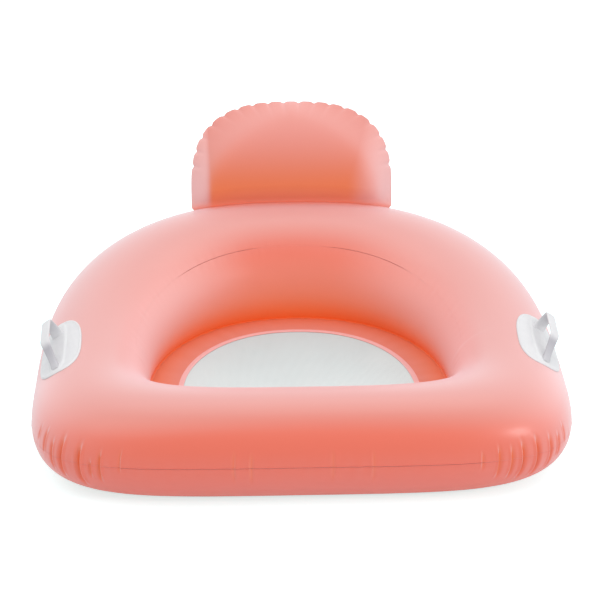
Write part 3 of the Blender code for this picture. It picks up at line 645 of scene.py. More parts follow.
# %% The pleats: station, start and end angle, depth and width in metres, side of the ridge
PLEATS = (
    (35.06, 158, 174, 0.0030, 0.0030, 1), (35.75, 155, 184, 0.0044, 0.0034, 1),
    (36.45, 160, 200, 0.0048, 0.0036, 1), (37.12, 152, 206, 0.0085, 0.0050, 1),
    (38.15, 154, 214, 0.0090, 0.0052, 1), (38.72, 172, 196, 0.0038, 0.0030, 1),
    (39.12, 160, 202, 0.0055, 0.0036, 1), (39.94, 158, 188, 0.0028, 0.0030, 1),
    (51.75, 166, 190, 0.0028, 0.0034, -1), (52.42, 160, 205, 0.0048, 0.0038, -1),
    (52.95, 162, 207, 0.0052, 0.0038, -1), (53.48, 158, 212, 0.0078, 0.0046, -1),
    (54.25, 156, 214, 0.0090, 0.0050, -1), (55.10, 160, 209, 0.0058, 0.0040, -1),
    (55.80, 164, 196, 0.0046, 0.0036, -1), (56.44, 159, 184, 0.0030, 0.0030, -1),
    (43.75, 158, 200, 0.0018, 0.0040, 1), (44.30, 160, 202, 0.0020, 0.0040, -1),
    (46.85, 158, 201, 0.0014, 0.0040, 1), (48.12, 158, 202, 0.0014, 0.0040, -1),
)
RIDGE_SHARE, RIDGE_AWAY, RIDGE_SHARPNESS = 0.5, 1.3, 1.5
PLEAT_REACH = 6
PLEAT_TAPER = 1.6
FULL_SHADE_DEPTH = 0.006
PUCKER_SEED = 7
PUCKER_WAVES = 26
PUCKER_CYCLES = (40, 170)
PUCKER_SCALE = 3.2
PUCKER_FADE = 1.3


def read_floats(mesh, label):
    values = np.zeros(len(mesh.vertices))
    mesh.attributes[label].data.foreach_get("value", values)
    return values


def read_vectors(items, key):
    values = np.zeros(len(items) * 3)
    items.foreach_get(key, values)
    return values.reshape(-1, 3)


def write_floats(mesh, **labels):
    """Puts numbers on the vertices, or one number on all of them, under each name."""
    for label, values in labels.items():
        values = np.ones(len(mesh.vertices)) * values
        mesh.attributes.new(label, "FLOAT", "POINT").data.foreach_set("value", values)


def write_places(mesh, places):
    mesh.vertices.foreach_set("co", places.ravel())
    mesh.update()


# %% Press the pleats into a panel
outer_edge = tube_point(np.full(len(half), math.pi))
edge_length = np.r_[0, np.cumsum(np.linalg.norm(np.diff(outer_edge, axis=0), axis=1))]


def pleat_lift(column, angle):
    """How far the film moves off the tube, in metres, and how much of it is in a groove."""
    degrees = np.degrees(angle) % 360
    lift = np.zeros(len(column))
    groove = np.zeros(len(column))
    for place, start, end, depth, width, side in PLEATS:
        away = edge_length[column] - np.interp(place, station_at, edge_length)
        near = np.abs(away) < PLEAT_REACH * width
        middle_angle, reach = (start + end) / 2, (end - start) / 2
        fade = 1 - np.abs(degrees[near] - middle_angle) / reach
        taper = smooth_step(fade * PLEAT_TAPER)
        across = away[near] / width
        valley = np.exp(-(across**2))
        ridge = np.exp(-((across - RIDGE_AWAY * side) ** 2) * RIDGE_SHARPNESS)
        lift[near] += depth * taper * (RIDGE_SHARE * ridge - valley)
        # The groove share becomes painted shade, deep orange in the grooves.
        groove[near] += taper * valley * min(1, depth / FULL_SHADE_DEPTH)
    return lift, np.minimum(groove, 1)


def pucker_lift(column, angle, seams):
    """Small seeded waves beside the seams, dying out away from them."""
    rng = np.random.default_rng(PUCKER_SEED)
    wave = np.zeros(len(half))
    for _ in range(PUCKER_WAVES):
        cycles = rng.integers(*PUCKER_CYCLES)
        wave += rng.uniform(0.4, 1) * np.sin(cycles * around + rng.uniform(0, 2 * math.pi))
    lift = np.zeros(len(column))
    for seam, height in seams:
        away = np.abs(angle - seam[column]) * radius[column]
        fade = np.exp(-((away / PUCKER_REACH) ** PUCKER_FADE))
        lift += height * wave[column] / PUCKER_SCALE * fade
    return lift


# %% [markdown]
# ## The film panels of the ring
# Now the three panels. Fins run level at the outer seam and at the seat's crease. At the
# top seam of the inner wall they turn into the tube, which leaves only a hairline there.
# That line opens a little along two arcs at the back, and the outer seam along the front.
# Solidify gives the film its thickness, so a seam shows as two real edges and not as a
# drawn line.

# %% Sizes of the seams
OUTER_FIN = 0.0011
INNER_FIN = 0.0020
CREASE_FIN = 0.006
OUTER_FIN_WANDER, CREASE_FIN_WANDER = 0.25, 0.2
BARE_FIN_SHARE, FRONT_FIN_GAIN = 0.2, 0.45
HAIRLINE = 0.00006
OPEN_LINE = 0.00045
OPEN_TAPER = 2.5
FRONT_OPEN_LINE = 0.00035
LINE_ARCS = ((7.3, 13.6), (16.7, 23.0))
FRONT_SEAM = (39.6, 52.0)
FRONT_SEAM_TAPER = 1.5
TOP_ROWS = 46
WALL_ROWS = 22
BOTTOM_ROWS = 46
PUCKER_REACH = 0.016
OUTER_PUCKER = 0.00038
INNER_PUCKER = 0.00012
FOLD_ANGLE = math.radians(50)

# %% Angles and shares of the marks that paint light and shade on the ring
SHELTER_FROM, SHELTER_SPAN = math.radians(72), math.radians(105)
SHELTER_POWER = 1.9
SHELTER_AT_FRONT, SHELTER_GAIN, SHELTER_GROWTH = 0.42, 0.50, 1.4
UNDERSIDE_FROM, UNDERSIDE_SPAN = math.radians(90), math.radians(60)
GROOVE_SHADE = 0.75
SOFT_TURN, SOFT_TURN_SHARE = 0.22, 0.48
WALL_BACKLIGHT, WALL_BACKLIGHT_AT, WALL_BACKLIGHT_SPAN = 0.32, math.radians(14), math.radians(26)
CORNER_BACKLIGHT, CORNER_BACKLIGHT_AT, CORNER_BACKLIGHT_SPAN = 0.75, math.radians(142), math.radians(28)
CORNER_ASIDE, CORNER_ASIDE_SPAN, CORNER_AHEAD = 0.95, 0.20, 0.30
LEFT_BACKLIGHT, RIGHT_BACKLIGHT = 0.78, 0.46
SIDE_BACKLIGHT_AT, SIDE_BACKLIGHT_SPAN = math.radians(34), math.radians(26)
SIDE_ASIDE, SIDE_ASIDE_SPAN = 0.25, 0.5
MATT_FROM, MATT_SPAN = math.radians(64), 0.6


def waves(seed, count, cycles, places):
    """Seeded waves of many lengths, added up."""
    rng = np.random.default_rng(seed)
    return sum(
        rng.uniform(0.3, 1) * np.sin(rng.integers(*cycles) * places + rng.uniform(0, 6.28))
        for _ in range(count)
    ) / 3


def wavy(base, amount, seed):
    """A fin is never cut quite straight, so its width wanders a little."""
    return base * (1 + amount * waves(seed, 12, (20, 130), around))


def bell(value, centre, span):
    """1 at the centre, dying out on both sides of it."""
    return np.exp(-(((value - centre) / span) ** 2))


def hidden_from_sky(upward):
    """Share of painted underside shade: 0 where film faces the sky, most where it faces the
    ground.
    """
    turned = (1 - np.clip(upward, -1, 1)) / 2
    soft = SOFT_TURN_SHARE * smooth_step(turned / SOFT_TURN)
    return soft + (1 - SOFT_TURN_SHARE) * turned**2


def moved_off_tube(obj, column, angle, lift):
    """Moves film along the plain tube's own direction, so both sides of a seam agree."""
    mesh = obj.data
    places = read_vectors(mesh.vertices, "co")
    places += tube_direction(column, angle) * lift[:, None]
    places[:, 2] = np.maximum(places[:, 2], 0)
    write_places(mesh, places)


def face_outward(obj, probe_point):
    """Turns the whole sheet round if the face nearest to a point outside looks away from it."""
    mesh = obj.data
    face = min(mesh.polygons, key=lambda f: (f.center - probe_point).length)
    if face.normal.dot(probe_point - face.center) < 0:
        mesh.flip_normals()


def finished(obj, film, hole=None):
    """Gives a sheet its film thickness, cuts a valve hole and applies both."""
    shell = obj.modifiers.new("film", "SOLIDIFY")
    shell.thickness = film
    shell.offset = -1.0
    shell.use_even_offset = True
    if hole:
        cut = obj.modifiers.new("hole", "BOOLEAN")
        cut.operation = "DIFFERENCE"
        cut.solver = "MANIFOLD"
        cut.object = hole
    mesh = real_mesh(obj)
    mesh.set_sharp_from_angle(angle=FOLD_ANGLE)
    obj.modifiers.clear()
    obj.data = mesh
    if hole:
        bpy.data.objects.remove(hole)


# %% The marks that paint light and shade on a ring panel
def ring_marks(column, angle, groove):
    """Painted shade (sheltered, below), painted light (backlit) and matt, by column and angle."""
    aside, ahead = out[column, 0], -out[column, 1]
    # Painted shade in the well, deepest at the back.
    inside = smooth_step((SHELTER_FROM - angle) / SHELTER_SPAN) ** SHELTER_POWER
    inside *= smooth_step((angle + UNDERSIDE_FROM) / UNDERSIDE_SPAN)
    inside *= SHELTER_AT_FRONT + SHELTER_GAIN * smooth_step(share[column] * SHELTER_GROWTH)
    # Painted light, paler as if lit through the film: the back of the inner wall, the front
    # corners, and the inner sides, the left more than the right.
    corner = bell(np.abs(aside), CORNER_ASIDE, CORNER_ASIDE_SPAN)
    corner *= smooth_step(ahead / CORNER_AHEAD)
    side = np.where(aside < 0, LEFT_BACKLIGHT, RIGHT_BACKLIGHT)
    side *= smooth_step((np.abs(aside) - SIDE_ASIDE) / SIDE_ASIDE_SPAN)
    thin = WALL_BACKLIGHT * bell(angle, WALL_BACKLIGHT_AT, WALL_BACKLIGHT_SPAN) * share[column]
    thin += CORNER_BACKLIGHT * corner * bell(angle, CORNER_BACKLIGHT_AT, CORNER_BACKLIGHT_SPAN)
    thin += side * bell(angle, SIDE_BACKLIGHT_AT, SIDE_BACKLIGHT_SPAN)
    return {
        "sheltered": np.minimum(np.maximum(inside, groove * GROOVE_SHADE), 1),
        "below": np.minimum(hidden_from_sky(tube_direction(column, angle)[:, 2]), 1),
        "backlit": np.clip(thin, 0, 1),
        "matt": smooth_step((MATT_FROM - angle) / MATT_SPAN) * (angle > -math.pi / 2),
    }


# %% Sweep the panels
def ring_panel(name, rows, start, end, first_fin, last_fin, seams):
    guide = guide_line(name + "_guide", middle, {
        "middle": middle, "out": out, "half": half, "radius": radius,
        "start": start, "end": end, "first fin": first_fin, "last fin": last_fin,
    })
    values = {"Columns": len(middle), "Rows": rows, "Film": film_material}
    panel = run_tree(ring_tree, guide, values, name)
    face_outward(panel, Vector((0, 0, -1 if "bottom" in name else 1)))
    column = read_floats(panel.data, "column").round().astype(int)
    angle = read_floats(panel.data, "angle")
    lift, groove = pleat_lift(column, angle)
    lift += pucker_lift(column, angle, seams)
    moved_off_tube(panel, column, angle, lift)
    write_floats(panel.data, **ring_marks(column, angle, groove))
    return panel


line_gap = np.full(len(half), HAIRLINE)
for first, last in LINE_ARCS:
    reach = 1 - np.abs(station_at - (first + last) / 2) / ((last - first) / 2)
    line_gap += OPEN_LINE * smooth_step(reach * OPEN_TAPER)
line_rise = line_gap / radius
outer_seam = np.full(len(half), math.pi)
crease = angle_at(SEAT_HEIGHT)
on_front = smooth_step((station_at - FRONT_SEAM[0]) / FRONT_SEAM_TAPER + 0.5)
on_front *= smooth_step((FRONT_SEAM[1] - station_at) / FRONT_SEAM_TAPER + 0.5)
outer_rise = (FILM + HAIRLINE + FRONT_OPEN_LINE * on_front) / radius
fin_share = BARE_FIN_SHARE + FRONT_FIN_GAIN * on_front
top_fin = out * (wavy(OUTER_FIN, OUTER_FIN_WANDER, 3) * fin_share)[:, None]
wall_start = seam_angle - line_rise
top_end = seam_angle + line_rise
wall_end = angle_at(SEAT_HEIGHT + BORDER_FILM / 2 + GAP + FILM)
under_start = angle_at(SEAT_HEIGHT - BORDER_FILM / 2 - GAP - FILM)
crease_fin = -out * wavy(CREASE_FIN, CREASE_FIN_WANDER, 5)[:, None]

ring_top = ring_panel(
    "ring_top_film", TOP_ROWS, math.pi - outer_rise, top_end,
    top_fin, -tube_normal(top_end) * INNER_FIN,
    ((outer_seam, OUTER_PUCKER), (seam_angle, INNER_PUCKER)),
)
ring_wall = ring_panel(
    "ring_wall_film", WALL_ROWS, wall_start, wall_end,
    -tube_normal(wall_start) * INNER_FIN, crease_fin,
    ((seam_angle, INNER_PUCKER),),
)
ring_bottom = ring_panel(
    "ring_bottom_film", BOTTOM_ROWS, under_start, -math.pi + outer_rise,
    crease_fin, top_fin,
    ((-outer_seam, OUTER_PUCKER),),
)
print("ring film faces:", *(len(p.data.polygons) for p in (ring_top, ring_wall, ring_bottom)))

# %% [markdown]
# ## Sitting other pieces on the ring
# A patch or a pillow follows the film that it is welded to. A search tree of the top
# panel's faces finds the film below any point, which is steadier than working the tube's
# equations backwards.

# %% A probe of the ring's top
def probe_of(obj):
    mesh = obj.data
    return BVHTree.FromPolygons(
        [v.co for v in mesh.vertices], [tuple(p.vertices) for p in mesh.polygons]
    )


top_probe = probe_of(ring_top)


def ring_height(x, y):
    hit = top_probe.ray_cast(Vector((x, y, 1.0)), Vector((0, 0, -1)))[0]
    return hit.z if hit else None


print("ring height at the pillow's foot:", round(ring_height(0, 0.461), 4))


# %% A mesh from columns of points
def woven(name, columns, material, closed=True, pole=None, weld=None):
    """A sheet from columns of points, closed round, and over a pole if one is given."""
    columns = np.asarray(columns, float)
    count, rows = columns.shape[:2]
    points = columns.reshape(-1, 3)
    faces = []
    for i in range(count if closed else count - 1):
        a, b = i * rows, (i + 1) % count * rows
        faces += [(a + j, b + j, b + j + 1, a + j + 1) for j in range(rows - 1)]
        if pole is not None:
            faces.append((a + rows - 1, b + rows - 1, count * rows))
    if pole is not None:
        points = np.concatenate([points, [pole]])
    mesh = bpy.data.meshes.new(name)
    mesh.from_pydata(points.tolist(), [], faces)
    mesh.shade_smooth()
    mesh.materials.append(material)
    if weld is not None:
        values = np.zeros(len(points))
        values[: count * rows] = np.asarray(weld, float).ravel()
        write_floats(mesh, weld=values)
    return put(name, mesh)


# %% [markdown]
# ## Seat
# A flat border of film is trapped in the crease low on the inner wall. The net hangs in
# it, held by a paler strip that is welded over its cut edge. The net is stretched by the
# border and sags a little in the middle.

# %% Sizes of the seat
BORDER_TUCK = 0.0008
BORDER_WIDTH = 0.080
STRIP_WIDTH = 0.012
STRIP_FILM = 0.0005
MESH_TUCK = 0.014
MESH_SAG = 0.016
BORDER_ROWS = 22
FLUTTER = 0.0003
TUCKED_REST, EDGE_REST = 0.016, 0.02
EDGE_SHELTER, SHELTER_TO_CREASE = 0.22, 0.42

crease_line = tube_point(crease)[:-1]


def seat_outline(inset):
    """The crease drawn in towards the seat's middle."""
    right = crease_line[:, 0].max()
    ahead = crease_line[:, 1] - WIDEST_Y
    reach = np.where(ahead > 0, ahead.max(), -ahead.min())
    return np.c_[
        crease_line[:, 0] * (1 - inset / right), WIDEST_Y + ahead * (1 - inset / reach)
    ]


def level_rows(insets, heights):
    """Columns of a band between insets, at the heights given for each row."""
    rows = [np.c_[seat_outline(i), np.full(len(crease_line), h)] for i, h in zip(insets, heights)]
    return np.stack(rows, axis=1)


# %% The border and its weld strip
border_insets = np.linspace(BORDER_TUCK, BORDER_WIDTH, BORDER_ROWS)
border_columns = level_rows(border_insets, np.full(BORDER_ROWS, SEAT_HEIGHT + BORDER_FILM / 2))
flutter = waves(11, 14, (24, 70), around[:-1])
free = smooth_step(border_insets / TUCKED_REST)
free *= smooth_step((BORDER_WIDTH - border_insets) / EDGE_REST)
border_columns[:, :, 2] += FLUTTER * flutter[:, None] * free[None, :]
border_weld = np.repeat((border_insets < CREASE_FIN)[None, :], len(crease_line), axis=0)
border = woven("seat_border_film", border_columns, border_shaded_material, weld=border_weld)
face_outward(border, Vector((0, 0, 1)))

# Painted shade on the border, deepest at the crease.
border_shade = EDGE_SHELTER + SHELTER_TO_CREASE * (1 - border_insets / BORDER_WIDTH)
write_floats(border.data, sheltered=np.tile(border_shade, len(crease_line)), matt=1)

strip_insets = np.array([0, 0.0008, 0.003, 0.006, 0.009, 0.0112, STRIP_WIDTH])
strip_insets += BORDER_WIDTH - STRIP_WIDTH
strip_base = SEAT_HEIGHT + BORDER_FILM / 2 + GAP
strip_heights = strip_base + STRIP_FILM * np.array([0.3, 1, 1.25, 1.3, 1.25, 1, 0.3])
strip = woven(
    "seat_weld_strip_film", level_rows(strip_insets, strip_heights), strip_material,
    weld=np.repeat(np.array([[0, 0, 1, 1, 1, 0, 0]]), len(crease_line), axis=0),
)
face_outward(strip, Vector((0, 0, 1)))

# %% The net
net_shares = np.r_[1, np.linspace(1, 0.03, 40)]
net_top = SEAT_HEIGHT - BORDER_FILM / 2 - GAP
edge = seat_outline(BORDER_WIDTH)
centre = edge.mean(axis=0)
net_columns = np.zeros((len(edge), len(net_shares), 3))
for row, part in enumerate(net_shares):
    net_columns[:, row, :2] = centre + (edge - centre) * part
    net_columns[:, row, 2] = net_top - MESH_SAG * (1 - part * part)
net_edge = seat_outline(BORDER_WIDTH - MESH_TUCK)
net_columns[:, 0, :2] = net_edge
net = woven(
    "seat_net", net_columns, net_material, pole=[centre[0], centre[1], net_top - MESH_SAG]
)
face_outward(net, Vector((0, 0, 1)))

# %% [markdown]
# ## Head pillow
# The pillow is two panels welded along their rim and blown up, then welded by its foot
# to the back of the ring. A flat panel that swells has too much film at its rim, so the
# rim gathers into even lobes with small sharp notches, and short folds run inwards from
# the notches. The face is smooth and nearly flat, with bevelled sides and a top that
# rounds away. Its colour has painted light and shade: deep orange low on the face, paler
# at the sides and top, and a painted glow along the line where it lies on the ring.

# %% Sizes of the pillow
PILLOW_SETBACK = 0.089
PILLOW_LEAN = math.radians(10)
PILLOW_HALF_WIDTH = 0.243
PILLOW_RISE = 0.220
PILLOW_SIDE = 0.026
PILLOW_SQUARENESS = 2.8
PILLOW_CROWNS = (0.080, 0.064)
PILLOW_BODY = 0.0068
PILLOW_FIN = 0.0007
PILLOW_FOOT_FIN = 0.0004
PILLOW_PRESS = 0.0005
STRIP_PRESS = 0.0011
PILLOW_FOOT_CLEARANCE = 0.0001
PILLOW_LOBES = 23
LOBE_POINTS = 14
FOOT_POINTS = 90
NOTCH_SHARE = 0.62
NOTCH_SHARPNESS = 9
FOOT_STRIP_FILM = 0.0006
FOOT_STRIP_HALF = 0.012
LOBES_START, LOBES_SPAN = 0.062, 0.03
CORNER_SPAN = 3

foot_y = WIDEST_Y + BACK_REACH - PILLOW_SETBACK
pillow_foot = np.array([0, foot_y, ring_height(0, foot_y)])
pillow_up = np.array([0, math.sin(PILLOW_LEAN), math.cos(PILLOW_LEAN)])
pillow_front = np.array([0, -math.cos(PILLOW_LEAN), math.sin(PILLOW_LEAN)])


def pillow_place(across, up, forward=0.0):
    across, up, forward = (np.asarray(v, float)[..., None] for v in (across, up, forward))
    return pillow_foot + np.array([1.0, 0, 0]) * across + pillow_up * up + pillow_front * forward


def ring_level(across):
    """How far up the pillow's plane the ring's film is."""
    start = Vector(pillow_place(across, 1.0))
    hit = top_probe.ray_cast(start, Vector(-pillow_up))[0]
    return float(np.dot(np.array(hit) - pillow_place(across, 0), pillow_up))


# %% The rim of the pillow
foot_lift = GAP + FOOT_STRIP_FILM + PILLOW_FOOT_CLEARANCE + PILLOW_FOOT_FIN
corner_up = ring_level(PILLOW_HALF_WIDTH) + foot_lift
turn = np.linspace(0, math.pi, CURVE_SAMPLES)[1:-1]
arch = np.c_[
    PILLOW_HALF_WIDTH * np.sign(np.cos(turn)) * np.abs(np.cos(turn)) ** (2 / PILLOW_SQUARENESS),
    PILLOW_SIDE + PILLOW_RISE * np.sin(turn) ** (2 / PILLOW_SQUARENESS),
]
sides = [[PILLOW_HALF_WIDTH, corner_up], [PILLOW_HALF_WIDTH, PILLOW_SIDE]]
path = np.array(sides + arch.tolist() + [[-x, up] for x, up in sides[::-1]])
measure = np.r_[0, np.cumsum(np.hypot(*np.diff(path, axis=0).T))]
rim_count = PILLOW_LOBES * LOBE_POINTS
wanted = np.linspace(0, measure[-1], rim_count + 1)
rim = spread(wanted, measure, path)
foot_across = np.linspace(-PILLOW_HALF_WIDTH, PILLOW_HALF_WIDTH, FOOT_POINTS + 2)[1:-1]
foot_rim = np.array([[x, ring_level(x) + foot_lift] for x in foot_across])
outline = np.concatenate([rim, foot_rim])

phase = np.arange(rim_count + 1) / LOBE_POINTS
notch = np.abs(np.cos(math.pi * phase)) ** NOTCH_SHARPNESS
lobed = smooth_step((rim[:, 1] - LOBES_START) / LOBES_SPAN)
from_start = np.arange(rim_count + 1)
corner = np.clip(np.minimum(from_start, from_start[::-1]) / CORNER_SPAN, 0, 1)
even_width = np.r_[PILLOW_BODY * corner, np.zeros(FOOT_POINTS)]
body_width = even_width * np.r_[1 - NOTCH_SHARE * notch * lobed, np.ones(FOOT_POINTS)]
fin_width = PILLOW_FOOT_FIN + np.r_[
    (PILLOW_FIN - PILLOW_FOOT_FIN) * corner, np.zeros(FOOT_POINTS)
]
tangent = np.roll(outline, -1, axis=0) - np.roll(outline, 1, axis=0)
tangent /= np.hypot(*tangent.T)[:, None]
outward = np.c_[tangent[:, 1], -tangent[:, 0]]
print("pillow rim", round(measure[-1], 3), "m, lobes", PILLOW_LOBES)

# %% Puckers at the notches
FOLD_SEED = 4
FOLD_DEPTH = 0.0007
SWELL = 0.0005
fold_rng = np.random.default_rng(FOLD_SEED)
which = np.clip(np.round(phase).astype(int), 0, PILLOW_LOBES)
no_foot = np.zeros(FOOT_POINTS)
strength = fold_rng.uniform(0.5, 1.0, PILLOW_LOBES + 1)[which]
length = fold_rng.uniform(0.006, 0.013, PILLOW_LOBES + 1)[which]
fold_depth = FOLD_DEPTH * np.r_[notch * lobed * strength, no_foot]
fold_reach = np.r_[length, no_foot + 0.01]
lobe_swell = SWELL * np.r_[np.sin(math.pi * phase) ** 2 * lobed, no_foot]


# %% The crown of a blown panel
SIDE_BEVEL = 0.036
BEVEL_WIDENING = 3.0
BEVEL_SOFTNESS = 0.45
TOP_POWER = 2.2
FOOT_RISE = 0.060
FULLEST_UP = 0.070
TOP_THINNING = 0.20


def soft_ramp(value):
    """Rises evenly from 0, then bends over softly to stay at 1."""
    def bent(v):
        return 0.5 * (v + 1 - np.sqrt((v - 1) ** 2 + BEVEL_SOFTNESS**2))
    return np.maximum((bent(value) - bent(0)) / (1 - bent(0)), 0)


def blown_height(across, up):
    """Fullness at a place: a flat face with bevelled sides and a top that rounds away."""
    high = np.clip((up - PILLOW_SIDE) / PILLOW_RISE, 0, 1)
    half_width = PILLOW_HALF_WIDTH * (1 - high**PILLOW_SQUARENESS) ** (1 / PILLOW_SQUARENESS)
    bevel = SIDE_BEVEL * (1 + BEVEL_WIDENING * high**2)
    sides = soft_ramp((half_width - np.abs(across)) / bevel)
    top = np.sqrt(1 - high**TOP_POWER)
    towards_top = (up - FULLEST_UP) / (PILLOW_RISE + PILLOW_SIDE - FULLEST_UP)
    thin = 1 - TOP_THINNING * smooth_step(towards_top)
    foot_up = np.clip((up - foot_line(across)) / FOOT_RISE, 0, 1)
    return sides * top * thin * np.sqrt(1 - (1 - foot_up) ** 2)


def foot_line(across):
    return np.interp(across, foot_across, foot_rim[:, 1])


# %% Rows of the pillow and the marks that paint its light and shade
PILLOW_ROWS = 52
ROW_CROWDING = 1.9
BODY_FADE, NOTCH_FADE = 0.05, 0.010
RIM_REST, SWELL_REACH = 0.004, 0.012
LEFT_EDGE, RIGHT_EDGE = (0.196, 0.020), (0.13, 0.10)
LOW_TO, LOW_SPAN = 0.21, 0.24
PILLOW_SHELTER, BACK_SHELTER_SHARE = 0.74, 0.35
PILLOW_BELOW = 0.4
FACE_BACKLIGHT, FACE_BACKLIGHT_FROM, FACE_BACKLIGHT_SPAN = 0.62, 0.05, 0.20
BACK_BACKLIGHT_SHARE = 0.4
TOUCH_REACH = 0.022
TOUCH_UP_TO = 0.12


def pillow_marks(places, upward, way):
    """Painted shade (sheltered, below), glow (touching), light (backlit) and matt, by place."""
    in_front = way > 0
    up = (places - pillow_foot) @ pillow_up
    left, right = (
        smooth_step((np.abs(places[:, 0]) - start) / span)
        for start, span in (LEFT_EDGE, RIGHT_EDGE)
    )
    edge = np.where(places[:, 0] < 0, left, right)
    # Painted shade, deep orange low on the face and less on the back.
    low_down = smooth_step((LOW_TO - up) / LOW_SPAN) * (1 if in_front else BACK_SHELTER_SHARE)
    amid = 1 - edge
    under = np.minimum(hidden_from_sky(upward), 1)
    away = [
        top_probe.find_nearest(Vector(p))[3] if u < TOUCH_UP_TO else 1.0
        for p, u in zip(places, up)
    ]
    # Painted light: paler at the sides and over the upper face, less on the back.
    thin = np.maximum(edge, FACE_BACKLIGHT * smooth_step((up - FACE_BACKLIGHT_FROM) / FACE_BACKLIGHT_SPAN))
    return {
        "sheltered": PILLOW_SHELTER * low_down * amid,
        "below": PILLOW_BELOW * under * (1 - amid * low_down),
        "matt": 1,
        "touching": smooth_step(1 - np.array(away) / TOUCH_REACH),
        "backlit": thin if in_front else BACK_BACKLIGHT_SHARE * thin,
    }


# %% The two blown panels
def pillow_panel(name, way, height):
    skin = GAP / 2 + FILM
    heart = np.array([0, (PILLOW_SIDE + PILLOW_RISE) / 2])
    body = outline + outward * body_width[:, None]
    tip = body + outward * fin_width[:, None]
    columns = [pillow_place(line[:, 0], line[:, 1], way * skin) for line in (tip, body)]
    depth = np.hypot(*(outline - heart).T)
    for part in 1 - np.linspace(0, 1, PILLOW_ROWS)[1:-1] ** ROW_CROWDING:
        inner_spot = heart + (outline - heart) * part
        inwards = depth * (1 - part)
        drawn = even_width * np.exp(-inwards / BODY_FADE)
        drawn += (body_width - even_width) * np.exp(-inwards / NOTCH_FADE)
        spot = inner_spot + outward * drawn[:, None]
        lift = height * blown_height(inner_spot[:, 0], inner_spot[:, 1])
        near = np.minimum(1, inwards / RIM_REST)
        lift += near * lobe_swell * np.exp(-inwards / SWELL_REACH)
        lift -= near * fold_depth * np.exp(-inwards / fold_reach)
        place = pillow_place(spot[:, 0], spot[:, 1], way * (skin + np.maximum(lift, 0)))
        for p in place:
            under = ring_height(p[0], p[1])
            if under is not None:
                on_strip = abs(p[1] - foot_y) < FOOT_STRIP_HALF + FOOT_STRIP_FILM
                p[2] = max(p[2], under + (STRIP_PRESS if on_strip else PILLOW_PRESS))
        columns.append(place)
    weld = np.zeros((len(outline), len(columns)))
    weld[:, :2] = 1
    pole = pillow_place(heart[0], heart[1], way * (skin + height * blown_height(*heart)))
    sheet = woven(name, np.stack(columns, axis=1), film_material, pole=pole, weld=weld)
    face_outward(sheet, Vector(pillow_place(0, 0.12, way)))
    places = read_vectors(sheet.data.vertices, "co")
    upward = read_vectors(sheet.data.vertex_normals, "vector")[:, 2]
    write_floats(sheet.data, **pillow_marks(places, upward, way))
    return sheet


pillow_faces = [
    pillow_panel("pillow_front_film", 1, PILLOW_CROWNS[0]),
    pillow_panel("pillow_back_film", -1, PILLOW_CROWNS[1]),
]

# %% A glow is painted on the ring too, along the line where the pillow lies on it
FOOT_BELOW, FOOT_BEHIND = 0.36, 0.34

front_points = read_vectors(pillow_faces[0].data.vertices, "co")
front_points = front_points[front_points[:, 2] < FOOT_BELOW]
pillow_near = KDTree(len(front_points))
for number, point in enumerate(front_points):
    pillow_near.insert(point, number)
pillow_near.balance()
ring_points = read_vectors(ring_top.data.vertices, "co")
under_pillow = np.abs(ring_points[:, 0]) < PILLOW_HALF_WIDTH + TOUCH_REACH
around_foot = (ring_points[:, 1] > FOOT_BEHIND) & under_pillow
touching = np.zeros(len(ring_points))
touching[around_foot] = smooth_step(1 - np.array([
    pillow_near.find(p)[2] for p in ring_points[around_foot]
]) / TOUCH_REACH)
write_floats(ring_top.data, touching=touching)
print("pillow faces:", *(len(p.data.polygons) for p in pillow_faces))

# %% The strip that welds the pillow to the ring
FOOT_COLUMNS, FOOT_ROWS = 120, 9

foot_columns = [
    [
        [x, foot_y + y, ring_height(x, foot_y + y) + GAP + FOOT_STRIP_FILM]
        for y in np.linspace(-FOOT_STRIP_HALF, FOOT_STRIP_HALF, FOOT_ROWS)
    ]
    for x in np.linspace(-PILLOW_HALF_WIDTH, PILLOW_HALF_WIDTH, FOOT_COLUMNS)
]
foot_strip = woven(
    "pillow_foot_film", foot_columns, film_material, closed=False,
    weld=np.ones((FOOT_COLUMNS, FOOT_ROWS)),
)
face_outward(foot_strip, Vector((0, foot_y, 1)))

# %% [markdown]
# ## Grab handles
# A handle is one white moulding: a flat oval patch welded to the film, a thin raised
# bead along its edge, a low boss down its middle, and a flat strap that stands on the two
# ends of the boss. The patch is a polar grid whose height follows a rule, laid over the
# film by the probe. The strap is a rounded section swept along two straight legs and a
# level crown, flared where it meets the boss. Shade is painted grey on its legs, fading
# out towards the crown.

# %% Sizes of a handle
HANDLE_ORIGIN = np.array([0.53886, -0.181, 0.21579])
HANDLE_OUT = np.array([0.5851, -0.0551, 0.8091])
HANDLE_ACROSS = np.array([0.8103, 0.0, -0.586])
PATCH_HALF = (0.112, 0.054)
PATCH_THICKNESS = 0.0022
PATCH_SQUARENESS = 2.8
BOSS_HALF = (0.101, 0.0195)
BOSS_RISE = 0.0052
BOSS_SQUARENESS = 3.2
BOSS_EDGE, BOSS_SOFTNESS = 1.12, 0.16
BEAD_RISE, BEAD_AT, BEAD_SPAN = 0.0012, 0.945, 0.028
STRAP_RISE = 0.0470
STRAP_FOOT_LEVEL = -0.001
STRAP_CORNERS = ((-0.096, 0), (-0.035, 1), (0.061, 1), (0.057, 0))
STRAP_BEND = 0.020
STRAP_SQUARENESS = 3.4
STRAP_CROWN = (0.0230, 0.0050)
STRAP_FOOT = ((0.0145, 0.0075), (0.0290, 0.0080))
STRAP_FLARE = (0.7, 1.6)
ROOT_FILLET = (0.002, 0.005, 0.006)


def handle_axes(side):
    mirror = np.array([side, 1, 1])
    outwards = HANDLE_OUT * mirror / np.linalg.norm(HANDLE_OUT)
    across = HANDLE_ACROSS * [1, 1, side] / np.linalg.norm(HANDLE_ACROSS)
    along = np.cross(outwards, across)
    return HANDLE_ORIGIN * mirror, along, across, outwards


